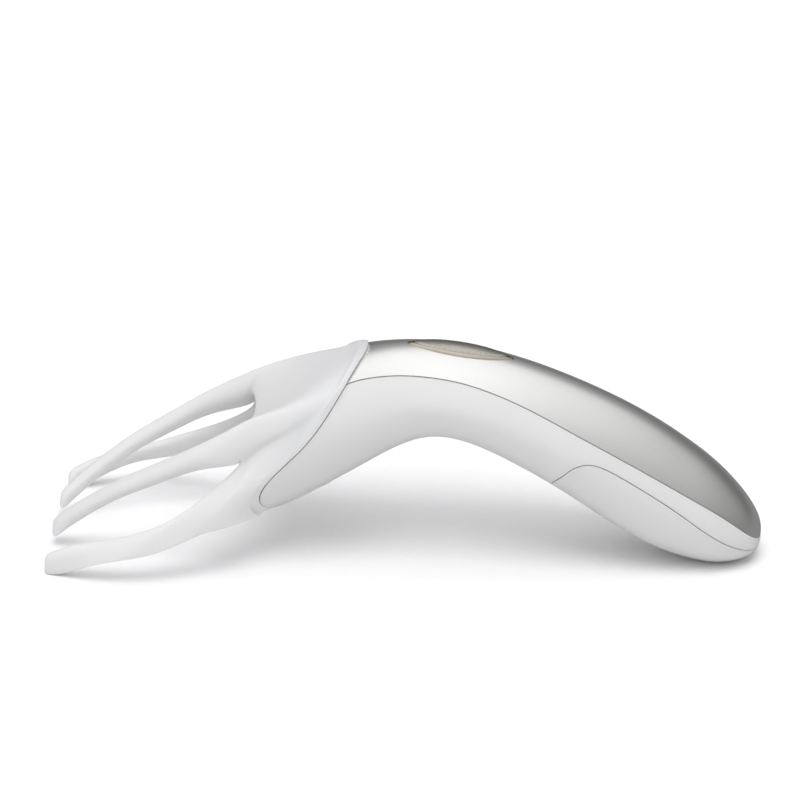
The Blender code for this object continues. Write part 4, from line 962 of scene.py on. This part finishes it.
soft = buildHead(regions, ground, cutters)
tidyShell(soft, head["sharp"])
removeHelpers(*cutters)
print("stage: head made,", len(soft.data.polygons), "faces")

finishPiece(top, "handle", "top_shell")
finishPiece(lower, "handle", "lower_housing")
finishPiece(door, "door", "battery_door")
finishPiece(cap, "button", "button_cap")
finishPiece(ring, "handle", "button_bezel")
finishPiece(soft, "handle", "massage_head")
buildSmallParts()
print("stage: pieces finished")

# Studio: a pale floor in a white tent that is brightest overhead, a soft key light from high on the
# camera's side, and the photograph's camera
studio = {
    "floorSize": 12.0, "fibreWidth": 3.0, "fibreDetail": 2.0,
    "azimuth": 5.0, "elevation": 25.0, "distance": 2.6, "target": (-0.002, 0.0, 0.0474),
    "lens": 390.0, "sensor": 36.0, "clipEnd": 100.0,
    "brightest": (0.0, 0.08, 0.9968), "peak": 1.36, "least": 0.25, "falloff": 2.0,
    # Light factors of the tent's back, right and front, and where each starts and is full
    "back": 0.42, "backFrom": 0.40, "backTo": 0.72,
    "right": 0.78, "rightFrom": 0.25, "rightTo": 0.75,
    "front": 2.3, "frontFrom": -0.50, "frontTo": -0.95,
    "keyFrom": (0.05, -0.36, 0.93), "keySpread": 34.0, "keyStrength": 1.17,
    "tint": "#fdfdff",
    "seen": "#f4f4f4",  # the tent as the camera sees it
    "floorPaintedReflection": "#808080",  # painted reflection: the floor's grey as the lacquer mirrors it, darker than the floor itself
}


def buildTent():
    world = bpy.data.worlds.new("white tent")
    world.use_nodes = True
    tree = world.node_tree
    tree.nodes.clear()
    direction = addNode(tree, "ShaderNodeNewGeometry").outputs["Position"]
    aim = {0: direction, 1: studio["brightest"]}
    toward = addNode(tree, "ShaderNodeVectorMath", aim, operation="DOT_PRODUCT").outputs["Value"]
    above = addNode(tree, "ShaderNodeMath", {0: toward, 1: 0.0}, operation="MAXIMUM").outputs["Value"]
    lobe = addNode(tree, "ShaderNodeMath", {0: above, 1: studio["falloff"]}, operation="POWER")
    levels = {"Value": lobe.outputs["Value"], "To Min": studio["least"], "To Max": studio["peak"]}
    level = addNode(tree, "ShaderNodeMapRange", levels).outputs["Result"]
    sides = addNode(tree, "ShaderNodeSeparateXYZ", {0: direction})
    for side, axis in (("back", "Y"), ("right", "X"), ("front", "Y")):
        dims = {"Value": sides.outputs[axis], "From Min": studio[side + "From"],
                "From Max": studio[side + "To"], "To Min": 1.0, "To Max": studio[side]}
        dim = addNode(tree, "ShaderNodeMapRange", dims, interpolation_type="SMOOTHSTEP").outputs["Result"]
        level = addNode(tree, "ShaderNodeMath", {0: level, 1: dim}, operation="MULTIPLY").outputs["Value"]
    tent = addNode(tree, "ShaderNodeBackground", {"Color": hexColour(studio["tint"]), "Strength": level})
    seen = addNode(tree, "ShaderNodeBackground", {"Color": hexColour(studio["seen"]), "Strength": 1.0})
    camera = addNode(tree, "ShaderNodeLightPath").outputs["Is Camera Ray"]
    both = {0: camera, 1: tent.outputs["Background"], 2: seen.outputs["Background"]}
    shown = addNode(tree, "ShaderNodeMixShader", both).outputs["Shader"]
    addNode(tree, "ShaderNodeOutputWorld", {"Surface": shown})
    bpy.context.scene.world = world


def buildKey():
    light = bpy.data.lights.new("softKey", "SUN")
    light.energy, light.angle = studio["keyStrength"], math.radians(studio["keySpread"])
    lamp = bpy.data.objects.new("softKey", light)
    lamp.rotation_euler = Vector(studio["keyFrom"]).to_track_quat("Z", "Y").to_euler()
    lamp.visible_glossy = False  # the lacquer mirrors the tent alone
    bpy.context.scene.collection.objects.link(lamp)


def buildFloor():
    size = studio["floorSize"] / 2
    corners = [(-size, -size, 0), (size, -size, 0), (size, size, 0), (-size, size, 0)]
    floor = meshObject("floor", corners, [(0, 1, 2, 3)])
    # Pressed fibres: an even white without gloss, seen by glossy rays as a painted grey reflection
    made, tree, shader, place = newMaterial("matt white paper")
    grain = {"Vector": place, "Scale": millimetresPerMetre / studio["fibreWidth"],
             "Detail": studio["fibreDetail"]}
    fibre = addNode(tree, "ShaderNodeTexNoise", grain).outputs["Fac"]
    tones = {0: fibre, 6: hexColour("#fafafa"), 7: hexColour("#ffffff")}
    paper = addNode(tree, "ShaderNodeMix", tones, data_type="RGBA").outputs[2]
    # Painted reflection: glossy rays see the floor grey, so the lacquer mirrors a darker floor than the
    # camera sees
    mirrored = addNode(tree, "ShaderNodeLightPath").outputs["Is Glossy Ray"]
    tones = {0: mirrored, 6: paper, 7: hexColour(studio["floorPaintedReflection"])}
    colour = addNode(tree, "ShaderNodeMix", tones, data_type="RGBA").outputs[2]
    tree.links.new(colour, shader.inputs["Base Color"])
    setShader(shader, Roughness=0.95, Specular_IOR_Level=0.1)
    floor.data.materials.append(made)


def buildCamera():
    a, e = math.radians(studio["azimuth"]), math.radians(studio["elevation"])
    forward = Vector((-math.sin(a) * math.cos(e), math.cos(a) * math.cos(e), -math.sin(e)))
    lens = bpy.data.cameras.new("photoCamera")
    lens.lens = studio["lens"]
    lens.sensor_width = studio["sensor"]
    lens.clip_end = studio["clipEnd"]
    camera = bpy.data.objects.new("photoCamera", lens)
    camera.location = Vector(studio["target"]) - forward * studio["distance"]
    camera.rotation_euler = forward.to_track_quat("-Z", "Y").to_euler()
    bpy.context.scene.collection.objects.link(camera)
    bpy.context.scene.camera = camera


buildTent()
buildKey()
buildFloor()
buildCamera()
bpy.context.scene.view_settings.view_transform = "Standard"
print("stage: studio ready")
